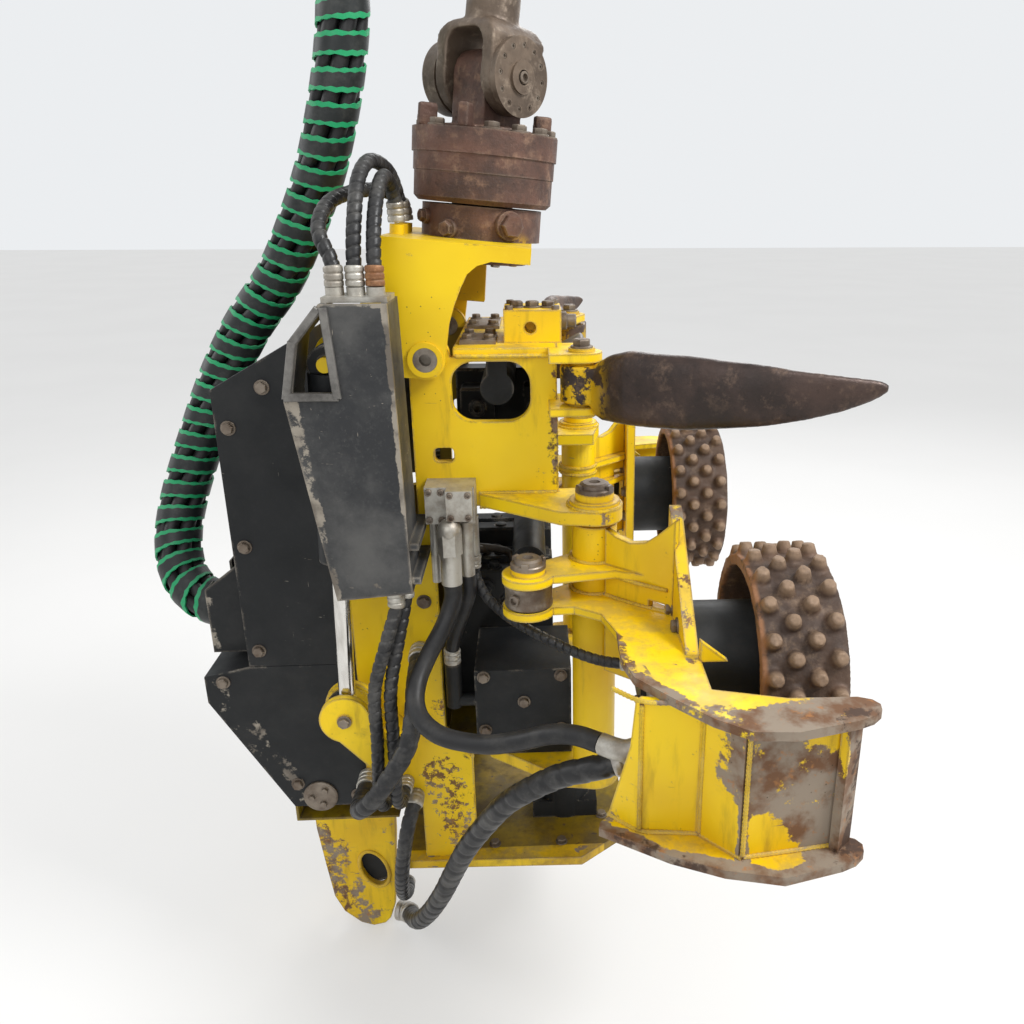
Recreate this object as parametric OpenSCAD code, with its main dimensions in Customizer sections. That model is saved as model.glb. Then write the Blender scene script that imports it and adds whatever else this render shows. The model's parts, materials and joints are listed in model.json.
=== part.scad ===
// Harvester head with its rotator and link, hanging from the crane pin.
// Lengths are millimetres. +X is the side that takes the trunk, +Z runs up along the trunk,
// and the head is symmetrical about the XZ plane but for its hoses, knives and saw.
// Each piece is drawn from the ground and the head's middle plane, then moved so that the
// origin is the middle of the crane pin.

/* [Link] */
// Diameter of the crane pin's bore
crane_bore_d = 50; // [40:1:60]
// Outer diameter of the crane pin's eye
crane_eye_d = 116; // [100:1:126]
// Length of the crane pin's eye
crane_eye_len = 100; // [90:1:110]
// Height of the crane pin above the swing pin
link_rise = 250; // [235:1:270]
// Diameter of the swing pin
swing_pin_d = 56; // [46:1:60]
// Width of the rotator's block between the link's legs
swing_block_w = 82; // [76:1:86]
// Thickness of one leg of the link
link_leg_t = 26; // [22:1:30]
// Width of the link seen along the swing pin
link_side_w = 122; // [116:1:126]
// Diameter of the link's neck
link_neck_d = 92; // [84:1:96]
// Diameter of the brake covers
brake_cover_d = 125; // [120:1:132]
// Thickness of the near brake cover
brake_cover_t = 12; // [10:1:16]
// Length of the far brake drum
brake_drum_len = 32; // [26:1:38]

/* [Rotator] */
// Diameter of the upper flange
rotator_flange_d = 256; // [250:1:262]
// Diameter of the band between the flanges
rotator_band_d = 250; // [240:1:250]
// Diameter of the lower flange
rotator_lower_d = 246; // [236:1:250]
// Diameter of the turning body below the flanges
rotator_body_d = 214; // [200:1:220]
// Height of the turning body
rotator_body_h = 55; // [50:1:60]
// Height of the lower flange
lower_flange_h = 50; // [44:1:56]
// Height of the band
band_h = 30; // [26:1:34]
// Height of the upper flange
upper_flange_h = 40; // [36:1:46]
// Diameter of the shaft inside the rotator
rotator_shaft_d = 110; // [90:1:120]

/* [Tilt frame] */
// Lean of the tilt frame and rotator toward +X, in degrees
lean = 5; // [3:0.5:7]
// Distance from the tilt pins up to the top plate
tilt_rise = 165; // [165:1:175]
// Thickness of the top plate
tilt_top_t = 25; // [20:1:30]
// Thickness of a side plate
tilt_side_t = 20; // [16:1:24]
// Distance of the rotator's axis in front of the tilt pins
rotator_reach = 70; // [66:1:74]
// Diameter of the tilt pins
tilt_pin_d = 40; // [30:1:44]
// Distance from the tilt pins back to the tilt cylinders' pins
tilt_lever = 143; // [138:1:146]

/* [Main frame] */
// Half the width over the side plates
frame_half = 210; // [204:1:212]
// Thickness of the side plates
side_t = 20; // [16:1:24]
// Thickness of the frame's other plates
frame_plate_t = 15; // [12:1:18]
// Wall of the black covers
cover_t = 5; // [4:0.5:8]

/* [Tilt cylinders] */
// Diameter of the barrel
tilt_barrel_d = 66; // [60:1:70]
// Length of the barrel from its pin
tilt_barrel_len = 334; // [320:1:340]
// Diameter of the rod
tilt_rod_d = 30; // [26:1:34]
// Diameter of the pins at both ends
tilt_cyl_pin_d = 24; // [20:1:26]
// Outer diameter of the barrel's eye
tilt_eye_d = 58; // [54:1:62]
// Outer diameter of the rod's eye
rod_eye_d = 82; // [80:1:86]
// Width of the eyes along their pins
tilt_eye_w = 34; // [30:1:36]

/* [Feed arms] */
// Diameter of an arm's hub tube
hub_d = 78; // [72:1:82]
// Diameter of an arm's pin
arm_pin_d = 44; // [40:1:48]
// Thickness of the arm's plates
arm_plate_t = 14; // [12:1:16]
// Length of an arm's hub between the upper lug and the shelf
hub_len = 478; // [466:1:490]
// Distance from the top of the hub down to the channel's upper flange
channel_drop = 121; // [118:1:126]
// Height of the channel over its flanges
channel_h = 247; // [240:1:254]

/* [Feed rollers] */
// Diameter of the drum without its studs
roller_d = 340; // [332:1:346]
// Width of the drum
roller_w = 132; // [126:1:138]
// Wall of the drum
roller_wall = 14; // [12:1:18]
// Height of a stud
stud_h = 20; // [14:1:22]
// Diameter of a stud at its foot
stud_d = 32; // [28:1:34]
// Studs around one row
stud_count = 20; // [18:1:21]
// Rows of studs
stud_rows = 4; // [3:1:4]

/* [Knives] */
// Reach of an upper knife from its pin
knife_reach = 485; // [470:1:495]
// Height of an upper knife's hub
knife_hub_h = 64; // [58:1:66]
// Outer diameter of an upper knife's hub
knife_hub_d = 72; // [66:1:74]
// Opening of the near knife in the photographed pose, in degrees
near_knife_open = 27; // [24:1:30]
// Opening of the far knife in the photographed pose, in degrees
far_knife_open = 84; // [80:1:88]

/* [Saw] */
// Reach of the saw bar from its pin to its nose
saw_reach = 490; // [470:1:500]
// Width of the saw bar
saw_bar_w = 72; // [64:1:76]
// Thickness of the saw bar with its chain
saw_bar_t = 10; // [8:1:10]

/* [Hidden] */
$fn = 48;

yellow = "#e8c21c";
black_paint = "#26282a";
rust = "#6b4632";
worn_steel = "#8d8880";
chrome = "#c9ccd0";
rubber = "#1c1c1e";
zinc = "#b9bcb8";

pin_play = 0.3;
// Gap between neighbouring pieces that move
gap = 5;

// Heights from the ground up, each from the one below it
shelf_t = 25;
spine_foot = 445;
hub_foot = 600;
hub_top = hub_foot + hub_len;
shelf_z = hub_foot - shelf_t - 15;
upper_foot = hub_top + 7;
knife_foot = upper_foot + 177;
frame_top_z = knife_foot + 88;
channel_top_z = hub_top - channel_drop;
channel_low_z = channel_top_z - channel_h;

tilt_pin_z = frame_top_z;
tilt_pin_x = -278;
tilt_cyl_y = 300;
tilt_cyl_drop = -3;
rod_pin_x = -446;
rod_pin_z = 729;
tilt_out = frame_half + gap + tilt_side_t;

body_foot = tilt_rise + tilt_top_t;
flange_gap = 3;
lower_flange_foot = body_foot + rotator_body_h + flange_gap;
band_foot = lower_flange_foot + lower_flange_h;
upper_flange_foot = band_foot + band_h;
upper_flange_top = upper_flange_foot + upper_flange_h;
swing_pin_h = upper_flange_top + 88;
swing_yaw = 46;
swing_hub_d = 92;
link_swing_rest = 2;

arm_y = 280;
arm_x = 0;
fork_x = -115;
fork_y = 350;
roller_x = 291;
roller_y = 429;
roller_z = channel_top_z - 68;
motor_plate_x = 120;

knife_x = -20;
knife_y = 250;
saw_x = -50;
saw_y = 50;
saw_z = 250;
saw_rest = 30;

// Middle of the crane pin, from the ground and the middle plane
crane_out = link_rise * sin(link_swing_rest);
crane_up = swing_pin_h + link_rise * cos(link_swing_rest);
crane_in = rotator_reach + crane_out * cos(swing_yaw);
crane_x = tilt_pin_x + crane_in * cos(lean) + crane_up * sin(lean);
crane_y = crane_out * sin(swing_yaw);
crane_z = tilt_pin_z - crane_in * sin(lean) + crane_up * cos(lean);

// From ground coordinates to the part's own origin
module at_mount() {
  translate([-crane_x, -crane_y, -crane_z]) children();
}

// Frame of the leaning tilt frame and rotator, origin on the tilt pins' axis
module leaned() {
  at_mount() translate([tilt_pin_x, 0, tilt_pin_z]) rotate([0, lean, 0]) children();
}

// Frame of the swing pin, Y along the pin and -Y toward the near side
module at_swing_pin() {
  leaned() translate([rotator_reach, 0, swing_pin_h]) rotate([0, 0, swing_yaw]) children();
}

// Frame of the link, upright on the swing pin
module on_link() {
  at_swing_pin() rotate([0, link_swing_rest, 0]) children();
}

// Draws near pieces as they are and far pieces mirrored, side is -1 or 1
module on_side(side) {
  if (side < 0) children();
  else mirror([0, 1, 0]) children();
}

// Cylinder along Y from y0 to y1
module y_cyl(x, y0, y1, z, d) {
  translate([x, y1, z]) rotate([90, 0, 0]) cylinder(h = y1 - y0, d = d);
}

// Cylinder along X from x0 to x1
module x_cyl(x0, x1, y, z, d) {
  translate([x0, y, z]) rotate([0, 90, 0]) cylinder(h = x1 - x0, d = d);
}

// Plate in the XZ plane from y0 to y1, its outline given as [x, z]
module xz_plate(y0, y1) {
  translate([0, y1, 0]) rotate([90, 0, 0]) linear_extrude(y1 - y0) children();
}

// Plate in the XY plane from z0 to z1
module xy_plate(z0, z1) {
  translate([0, 0, z0]) linear_extrude(z1 - z0) children();
}

// Rectangle with round corners
module round_rect(w, h, r) {
  square([w - 2 * r, h], center = true);
  square([w, h - 2 * r], center = true);
  for (sx = [-1, 1], sy = [-1, 1]) translate([sx * (w / 2 - r), sy * (h / 2 - r)]) circle(r);
}

// Outline moved inward by t, for a convex outline listed clockwise or not
function edge_dir(p, i) = let (a = p[i], b = p[(i + 1) % len(p)]) (b - a) / norm(b - a);
function twice_area(p, i = 0) = i == len(p) ? 0
  : p[i][0] * p[(i + 1) % len(p)][1] - p[(i + 1) % len(p)][0] * p[i][1] + twice_area(p, i + 1);
function outline_turn(p) = twice_area(p) > 0 ? 1 : -1;
function inset(p, t) = let (n = len(p), side = outline_turn(p))
  [for (i = [0 : n - 1]) let (
      d0 = edge_dir(p, (i + n - 1) % n), d1 = edge_dir(p, i),
      n0 = side * [-d0[1], d0[0]], n1 = side * [-d1[1], d1[0]],
      m = n0 + n1)
    p[i] + m * (2 * t / (m * m))];

// LINK

link_inner = swing_block_w + 6;
link_outer = link_inner + 2 * link_leg_t;
link_crown = 84;

module link_front() {
  difference() {
    union() {
      translate([0, 22]) round_rect(link_outer, 2 * link_crown - 40, 40);
      translate([-link_outer / 2, 0]) square([link_outer, 50]);
      for (s = [-1, 1]) translate([s * link_leg_t / 2 + s * link_inner / 2, 0]) square([link_leg_t, brake_cover_d - 2], center = true);
    }
    translate([0, -30]) square([link_inner, 120], center = true);
    translate([0, 24]) round_rect(link_inner, 88, 26);
  }
}

module link_side() {
  circle(d = brake_cover_d - 2);
  translate([-link_side_w / 2, 0]) square([link_side_w, 62]);
  translate([0, 58]) round_rect(link_side_w, 60, 28);
}

module link_yoke() {
  color(worn_steel) on_link() difference() {
    union() {
      intersection() {
        rotate([90, 0, 90]) linear_extrude(2 * link_side_w, center = true) link_front();
        rotate([90, 0, 0]) linear_extrude(2 * link_outer, center = true) link_side();
      }
      translate([0, 0, link_crown - 10]) cylinder(h = link_rise - link_crown + 10, d = link_neck_d);
      x_cyl(-crane_eye_len / 2, crane_eye_len / 2, 0, link_rise, crane_eye_d);
    }
    x_cyl(-crane_eye_len, crane_eye_len, 0, link_rise, crane_bore_d);
    y_cyl(0, -link_outer, link_outer, 0, swing_pin_d + 2 * pin_play);
  }
}

cover_bolts = 12;

module link_brake_covers() {
  near_face = -link_outer / 2;
  far_face = link_outer / 2;
  color(worn_steel) on_link() {
    difference() {
      union() {
        y_cyl(0, near_face - brake_cover_t, near_face, 0, brake_cover_d);
        y_cyl(0, near_face - brake_cover_t - 5, near_face, 0, 52);
      }
      y_cyl(0, near_face - 60, near_face - brake_cover_t + 3, 0, 24);
      for (i = [0 : cover_bolts - 1]) rotate([0, i * 360 / cover_bolts, 0])
        y_cyl(brake_cover_d / 2 - 13, near_face - 40, near_face - brake_cover_t + 6, 0, 9);
    }
    y_cyl(0, far_face, far_face + brake_drum_len, 0, brake_cover_d);
  }
}

module link_swing_pin() {
  color(worn_steel) on_link()
    y_cyl(0, -link_outer / 2, link_outer / 2, 0, swing_pin_d);
}

// ROTATOR

module rotator_housing() {
  color(rust) leaned() translate([rotator_reach, 0, 0]) difference() {
    union() {
      translate([0, 0, upper_flange_top]) cylinder(h = 8, d = 168);
      translate([0, 0, swing_pin_h]) rotate([0, 0, swing_yaw]) {
        y_cyl(0, -swing_block_w / 2, swing_block_w / 2, 0, swing_hub_d);
        translate([-swing_hub_d / 2, -swing_block_w / 2, upper_flange_top - swing_pin_h])
          cube([swing_hub_d, swing_block_w, swing_pin_h - upper_flange_top]);
        for (a = [-28, 28, 152, 208]) rotate([0, 0, a])
          translate([88, -9, upper_flange_top - swing_pin_h]) cube([32, 18, 38]);
      }
    }
    translate([0, 0, swing_pin_h]) rotate([0, 0, swing_yaw])
      y_cyl(0, -100, 100, 0, swing_pin_d + 2 * pin_play);
  }
}

module rotator_flanges() {
  color(rust) leaned() translate([rotator_reach, 0, 0]) difference() {
    union() {
      translate([0, 0, lower_flange_foot]) cylinder(h = 8, d1 = rotator_lower_d - 16, d2 = rotator_lower_d);
      translate([0, 0, lower_flange_foot + 8]) cylinder(h = lower_flange_h - 8, d = rotator_lower_d);
      translate([0, 0, band_foot]) cylinder(h = band_h, d = rotator_band_d);
      translate([0, 0, upper_flange_foot]) cylinder(h = upper_flange_h, d = rotator_flange_d);
    }
    translate([0, 0, lower_flange_foot - 1]) cylinder(h = 60, d = rotator_shaft_d + 2 * pin_play);
  }
}

module rotator_body() {
  color(rust) leaned() translate([rotator_reach, 0, 0]) {
    translate([0, 0, body_foot]) cylinder(h = rotator_body_h, d = rotator_body_d);
    translate([0, 0, body_foot]) cylinder(h = rotator_body_h + 50, d = rotator_shaft_d);
    translate([0, 0, tilt_rise - 16]) cylinder(h = 16, d = 170);
  }
}

// TILT FRAME

tilt_left = -80;
tilt_right = 163;

// Ports on the top plate, where the guard's hoses start
port_x = -65;
port_y = [-125, -70, -15];
port_h = 16;

module tilt_top_plate() {
  color(yellow) leaned() {
    xy_plate(tilt_rise, body_foot)
      translate([tilt_left, -tilt_out]) square([tilt_right - tilt_left, 2 * tilt_out]);
    for (y = port_y) translate([port_x, y, body_foot - 1]) cylinder(h = port_h + 1, d = 24);
  }
}

module tilt_side_outline() {
  polygon([[tilt_left, tilt_rise], [100, tilt_rise], [78, 157], [62, 142], [52, 118], [43, 90],
    [36, 60], [32, 0], [0, -32], [-tilt_lever, -32], [-tilt_lever - 30, 6], [-118, 60], [-92, 110]]);
  circle(r = 33);
  translate([-tilt_lever, tilt_cyl_drop]) circle(r = 36);
}

module tilt_side(side) {
  on_side(side) difference() {
    union() {
      xz_plate(-tilt_out, -tilt_out + tilt_side_t) tilt_side_outline();
      y_cyl(0, -tilt_out - 4, -tilt_out, 0, 58);
      y_cyl(-tilt_lever, -tilt_cyl_y - tilt_eye_w / 2 - 14, -tilt_out, tilt_cyl_drop, tilt_cyl_pin_d);
    }
    y_cyl(0, -tilt_out - 20, 0, 0, tilt_pin_d + 2 * pin_play);
  }
}

module tilt_side_near() {
  color(yellow) leaned() tilt_side(-1);
}

module tilt_side_far() {
  color(yellow) leaned() tilt_side(1);
}

module tilt_back_plate() {
  color(yellow) leaned() {
    translate([tilt_left, -tilt_out + tilt_side_t, 55])
      cube([18, 2 * (tilt_out - tilt_side_t), tilt_rise - 55]);
    // rib under the top plate, behind the rotator's axis
    translate([tilt_left, 120, 62]) cube([157, 20, tilt_rise - 62]);
  }
}

// MAIN FRAME

frame_front_x = -60;
spine_back_x = -445;
spine_front_x = -285;
web_front_x = -235;
web_foot = 320;

module frame_side_outline() {
  difference() {
    union() {
      polygon([[-310, tilt_pin_z], [-310, upper_foot - 75], [spine_back_x, upper_foot - 100], [spine_back_x, spine_foot], [-340, spine_foot],
        [-340, web_foot], [web_front_x, web_foot], [web_front_x, shelf_z], [spine_front_x, shelf_z + 60],
        [spine_front_x, upper_foot], [frame_front_x, upper_foot], [frame_front_x, frame_top_z], [-260, frame_top_z]]);
      translate([tilt_pin_x, tilt_pin_z]) circle(r = 38);
    }
    translate([-173, frame_top_z - 60]) round_rect(134, 104, 38);
    translate([-258, upper_foot + 95]) round_rect(34, 26, 8);
  }
}

module frame_side(side) {
  color(yellow) at_mount() on_side(side) difference() {
    xz_plate(-frame_half, -frame_half + side_t) frame_side_outline();
    y_cyl(tilt_pin_x, -frame_half - 5, -frame_half + side_t + 5, tilt_pin_z, tilt_pin_d);
  }
}

module frame_side_near() {
  frame_side(-1);
}

module frame_side_far() {
  frame_side(1);
}

module frame_top_plate() {
  color(yellow) at_mount()
    translate([-235, -frame_half, frame_top_z])
      cube([frame_front_x + 235, 2 * frame_half, frame_plate_t]);
}

cross_half = frame_half - side_t;

module frame_cross_plates() {
  color(yellow) at_mount() {
    // front plate behind the trunk, back and front walls of the spine
    translate([frame_front_x - frame_plate_t, -cross_half, upper_foot])
      cube([frame_plate_t, 2 * cross_half, frame_top_z - upper_foot]);
    translate([spine_back_x, -cross_half, spine_foot])
      cube([frame_plate_t, 2 * cross_half, upper_foot - 100 - spine_foot]);
    translate([spine_front_x - frame_plate_t, -cross_half, shelf_z + shelf_t])
      cube([frame_plate_t, 2 * cross_half, 180]);
  }
}

module lug_plan(reach) {
  polygon([[-200, -cross_half], [-200, -frame_half - 4], [-60, -arm_y - 38], [arm_x, -arm_y - 48],
    [arm_x + 48, -arm_y], [arm_x + 30, -cross_half]]);
  translate([arm_x, -arm_y]) circle(d = 96);
}

module frame_shelf() {
  color(yellow) at_mount() difference() {
    xy_plate(shelf_z, shelf_z + shelf_t) {
      translate([spine_front_x, -cross_half]) square([225, 2 * cross_half]);
      for (s = [-1, 1]) scale([1, -s]) difference() {
        lug_plan();
        translate([-300, -frame_half]) square([300 + web_front_x, side_t]);
      }
    }
    for (s = [-1, 1]) translate([arm_x, s * arm_y, 0]) cylinder(h = 2000, d = arm_pin_d);
  }
}

module arm_lugs() {
  color(yellow) at_mount() {
    for (s = [-1, 1]) difference() {
      union() {
        xy_plate(upper_foot, upper_foot + 24) scale([1, -s]) difference() {
          lug_plan();
          translate([-300, -frame_half]) square([300 + frame_front_x, side_t + 10]);
        }
        translate([arm_x, s * arm_y, upper_foot + 24]) cylinder(h = 10, d = 86);
      }
      translate([arm_x, s * arm_y, 0]) cylinder(h = 2000, d = arm_pin_d);
    }
    for (s = [-1, 1]) translate([arm_x, s * arm_y, shelf_z]) {
      cylinder(h = upper_foot + 34 - shelf_z, d = arm_pin_d);
      translate([0, 0, upper_foot + 34 - shelf_z]) cylinder(h = 14, d = 66);
    }
  }
}

module tilt_pins() {
  color(worn_steel) at_mount() for (s = [-1, 1]) on_side(s) difference() {
    y_cyl(tilt_pin_x, -tilt_out - 4, -frame_half + side_t, tilt_pin_z, tilt_pin_d);
    y_cyl(tilt_pin_x, -tilt_out - 6, -tilt_out + 16, tilt_pin_z, 20);
  }
}

lug_inner = tilt_cyl_y - tilt_eye_w / 2 - 2;
lug_outer = tilt_cyl_y + tilt_eye_w / 2 + 2;

module rod_lugs() {
  color(yellow) at_mount() for (s = [-1, 1]) on_side(s) {
    for (y = [[-lug_outer - 14, -lug_outer], [-lug_inner, -lug_inner + 14]]) xz_plate(y[0], y[1]) {
      translate([rod_pin_x, rod_pin_z]) circle(d = rod_eye_d + 8);
      polygon([[rod_pin_x - 30, rod_pin_z - 24], [rod_pin_x + 66, rod_pin_z - 132],
        [rod_pin_x + 106, rod_pin_z - 100], [rod_pin_x + 26, rod_pin_z + 28]]);
    }
    // web that carries both plates from the side plate
    xz_plate(-lug_outer, -frame_half)
      polygon([[rod_pin_x + 12, rod_pin_z - 74], [rod_pin_x + 66, rod_pin_z - 132],
        [rod_pin_x + 106, rod_pin_z - 100], [rod_pin_x + 52, rod_pin_z - 44]]);
    y_cyl(rod_pin_x, -lug_outer - 18, -lug_inner + 14, rod_pin_z, tilt_cyl_pin_d);
  }
}

knife_hub_z = knife_foot + 19;
lug_r = 34;

module knife_lug_plan(back_y) {
  translate([knife_x, -knife_y]) circle(r = lug_r);
  polygon([[frame_front_x - frame_plate_t, -back_y], [frame_front_x - frame_plate_t, -frame_half],
    [frame_front_x, -frame_half], [frame_front_x, -160], [knife_x, -160], [knife_x + lug_r, -knife_y], [knife_x, -back_y]]);
}

module knife_lugs() {
  color(yellow) at_mount() for (s = [-1, 1]) on_side(s) {
    for (z = [[knife_hub_z - gap - 14, knife_hub_z - gap], [frame_top_z, frame_top_z + frame_plate_t]])
      xy_plate(z[0], z[1]) knife_lug_plan(knife_y + lug_r);
    translate([knife_x, -knife_y, knife_hub_z - gap - 20])
      cylinder(h = frame_top_z + frame_plate_t + 6 + gap + 20 - knife_hub_z, d = arm_pin_d);
  }
}

module fixed_knife() {
  color(rust) at_mount() translate([frame_front_x, 0, frame_top_z])
    xz_plate(-90, 90) polygon([[0, -62], [26, -62], [62, -8], [54, -1], [0, -30]]);
}

// COVERS

cover_half = 196;
cover_back_x = -648;
cover_seam_z = 766;
rear_outline = [[cover_back_x, frame_top_z - 54], [-490, frame_top_z + 35], [-476, frame_top_z - 50],
  [spine_back_x, frame_top_z - 110], [spine_back_x, cover_seam_z], [cover_back_x, cover_seam_z]];
lower_outline = [[cover_back_x, cover_seam_z], [-735, 746], [-735, 691], [-597, spine_foot], [spine_back_x, spine_foot],
  [spine_back_x, cover_seam_z]];

module shell(p, wall) {
  difference() {
    xz_plate(-cover_half, cover_half) polygon(p);
    xz_plate(-cover_half + wall, cover_half - wall) polygon(inset(p, wall));
  }
}

module rear_cover() {
  color(black_paint) at_mount() shell(rear_outline, cover_t);
}

module rear_lower_cover() {
  color(black_paint) at_mount() shell(lower_outline, cover_t);
}

bracket_left = -727;
bracket_foot = cover_seam_z + 8;

module hose_bracket() {
  color(black_paint) at_mount() difference() {
    xz_plate(-150, 30)
      polygon([[bracket_left, bracket_foot], [bracket_left, 906], [cover_back_x, 966], [cover_back_x, bracket_foot]]);
    // open top and the way in for the bundle
    translate([bracket_left + 6, -144, bracket_foot + 6]) cube([cover_back_x - bracket_left - 12, 168, 300]);
    translate([bracket_left - 50, -112, bracket_foot + 6]) cube([100, 104, 300]);
    translate([cover_back_x - 50, -112, bracket_foot + 6]) cube([100, 104, 104]);
  }
}

guard_y0 = 360;
guard_y1 = 250;
guard_top = tilt_pin_z + 105;
guard_foot = tilt_pin_z - 375;
guard_outline = [[-414, guard_top], [-314, guard_top], [-306, guard_foot + 10], [-430, guard_foot],
  [-480, tilt_pin_z - 40], [-462, tilt_pin_z + 50]];

module guard(side) {
  // two tabs that carry the guard on the side plate
  on_side(side) for (z = [guard_foot + 25, guard_foot + 85])
    translate([-330, -guard_y0 + cover_t, z]) cube([38, guard_y0 - cover_t - frame_half, 12]);
  // shelf in the guard's foot, where two hoses start
  on_side(side) translate([-352, -guard_y0 + cover_t, guard_foot + 8]) cube([40, 76, 8]);
  on_side(side) difference() {
    xz_plate(-guard_y0, -guard_y1) polygon(guard_outline);
    xz_plate(-guard_y0 + cover_t, -guard_y1 + 1) polygon(inset(guard_outline, cover_t));
    // open top and the slot for the rod at the foot
    translate([-404, -guard_y0 + cover_t, guard_top - 55]) cube([80, 100, 100]);
    translate([-425, -guard_y0 + cover_t, guard_foot - 15]) cube([110, 100, 40]);
    translate([-500, -guard_y0 + 22, guard_foot - 15]) cube([100, 200, 290]);
    // window over the cylinder's upper pin
    translate([0, -guard_y0 + 1, tilt_pin_z]) xz_plate(-10, 10) polygon([[-455, -25], [-405, -25], [-412, 70]]);
  }
}

module guard_near() {
  color(black_paint) at_mount() guard(-1);
}

module guard_far() {
  color(black_paint) at_mount() guard(1);
}

// SAW

module saw_box_plate() {
  color(yellow) at_mount() difference() {
    xy_plate(web_foot - 20, web_foot)
      polygon([[-400, -frame_half - 10], [-20, -frame_half - 20], [80, -150], [80, 60], [0, 160], [-400, frame_half + 10]]);
    translate([saw_x, -saw_y, 0]) cylinder(h = 1000, d = 40);
  }
}

rail_left = -606;
rail_len = 210;
rail_h = 56;
rail_half = 170;

module saw_box_rail() {
  color(yellow) at_mount() difference() {
    translate([rail_left, -rail_half, spine_foot - rail_h]) cube([rail_len, 2 * rail_half, rail_h]);
    translate([rail_left + 6, -frame_half, spine_foot - rail_h + 6]) cube([rail_len, 2 * frame_half, rail_h - 12]);
  }
}

horn_near = 60;
horn_t = 15;
horn_top = spine_foot - rail_h;
horn_outline = [[-604, horn_top], [-602, 279], [-591, 179], [-580, 90], [-561, 45], [-525, 10], [-498, 0], [-470, 6],
  [-457, 20], [-444, 60], [-428, 260], [-424, horn_top]];

module saw_horn() {
  color(yellow) at_mount() {
    xz_plate(-horn_near, -horn_near + horn_t) polygon(horn_outline);
    difference() {
      xz_plate(-horn_near + horn_t, -horn_near + 110) polygon(horn_outline);
      xz_plate(-horn_near, 100) polygon(inset(horn_outline, 12));
      translate([-570, -200, 30]) cube([400, 400, 500]);
      translate([-500, -200, -10]) cube([400, 400, 500]);
    }
  }
}

module saw_motor() {
  color(black_paint) at_mount() translate([saw_x, -saw_y, web_foot]) {
    cylinder(h = 110, d = 110);
    translate([-70, -50, 0]) cube([140, 100, 40]);
  }
}

module saw_bar() {
  color(worn_steel) at_mount() translate([saw_x, -saw_y, saw_z]) rotate([0, 0, -saw_rest]) {
    translate([0, 0, -saw_bar_t / 2]) linear_extrude(saw_bar_t) difference() {
      union() {
        translate([-saw_reach + saw_bar_w / 2, -saw_bar_w / 2]) square([saw_reach - saw_bar_w / 2, saw_bar_w]);
        translate([-saw_reach + saw_bar_w / 2, 0]) circle(d = saw_bar_w);
        circle(d = 100);
      }
    }
    cylinder(h = web_foot - 20 - saw_z + 18, d = 39);
    translate([0, 0, -20]) cylinder(h = 20, d = 80);
    cylinder(h = 30, d = 90);
  }
}

// BLOCKS ON THE FRAME

module valve_block() {
  color(yellow) at_mount() difference() {
    translate([-150, -160, frame_top_z + frame_plate_t]) cube([100, 110, 56]);
    y_cyl(-104, -170, -130, frame_top_z + frame_plate_t + 26, 20);
  }
}

// Ferrules under the hydraulic block, as x, y, foot, top and diameter
ferrules = [[-249, -280, 967, 1072, 36], [-222, -256, 972, 1072, 24], [-280, -236, 952, 1072, 16], [-212, -229, 1000, 1072, 20]];

module hydraulic_block() {
  color(zinc) at_mount() {
    translate([-290, -frame_half - 55, 1072]) cube([85, 55, 66]);
    translate([-252, -frame_half - 78, 1084]) cube([44, 30, 54]);
    for (f = ferrules) translate([f[0], f[1], f[2]]) cylinder(h = f[3] - f[2] + 2, d = f[4]);
    translate([-249, -280, 1022]) cylinder(h = 40, d = 42, $fn = 6);
    translate([-249, -280, 1066]) sphere(d = 42);
  }
}

valve_box_x = -222;

module inner_valve_box() {
  color(black_paint) at_mount() {
    translate([valve_box_x, -240, shelf_z + shelf_t]) cube([182, 180, 183]);
    // elbow and ferrule of the hose from the hydraulic block
    x_cyl(-262, valve_box_x + 2, -226, 700, 24);
    translate([-262, -226, 688]) cylinder(h = 92, d = 30);
  }
}

module inner_knife_cylinder() {
  color(black_paint) at_mount() {
    y_cyl(-165, -150, 150, frame_top_z - 66, 60);
    for (y = [-150, 132]) translate([-183, y, frame_top_z - 66]) cube([36, 18, 66]);
  }
}

// TILT CYLINDERS

// Distance and direction from the barrel's pin to the rod's pin, in ground coordinates
tilt_eye_x = tilt_pin_x - tilt_lever * cos(lean) + tilt_cyl_drop * sin(lean);
tilt_eye_z = tilt_pin_z + tilt_lever * sin(lean) + tilt_cyl_drop * cos(lean);
tilt_cyl_len = norm([rod_pin_x - tilt_eye_x, rod_pin_z - tilt_eye_z]);
tilt_cyl_turn = atan2(rod_pin_x - tilt_eye_x, rod_pin_z - tilt_eye_z);

module on_tilt_cylinder(side) {
  at_mount() on_side(side) translate([tilt_eye_x, -tilt_cyl_y, tilt_eye_z]) rotate([0, tilt_cyl_turn, 0]) children();
}

module tilt_barrel(side) {
  color(black_paint) on_tilt_cylinder(side) difference() {
    union() {
      y_cyl(0, -tilt_eye_w / 2, tilt_eye_w / 2, 0, tilt_eye_d);
      translate([0, 0, 15]) cylinder(h = tilt_barrel_len - 15, d = tilt_barrel_d);
    }
    y_cyl(0, -50, 50, 0, tilt_cyl_pin_d + 2 * pin_play);
    translate([0, 0, 60]) cylinder(h = 400, d = tilt_rod_d + 2 * pin_play);
  }
}

module tilt_barrel_near() {
  tilt_barrel(-1);
}

module tilt_barrel_far() {
  tilt_barrel(1);
}

// The rod's eye is open around its pin, because its path and the lug's part a little
rod_eye_play = 18;

tilt_rod_len = 430;

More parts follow.
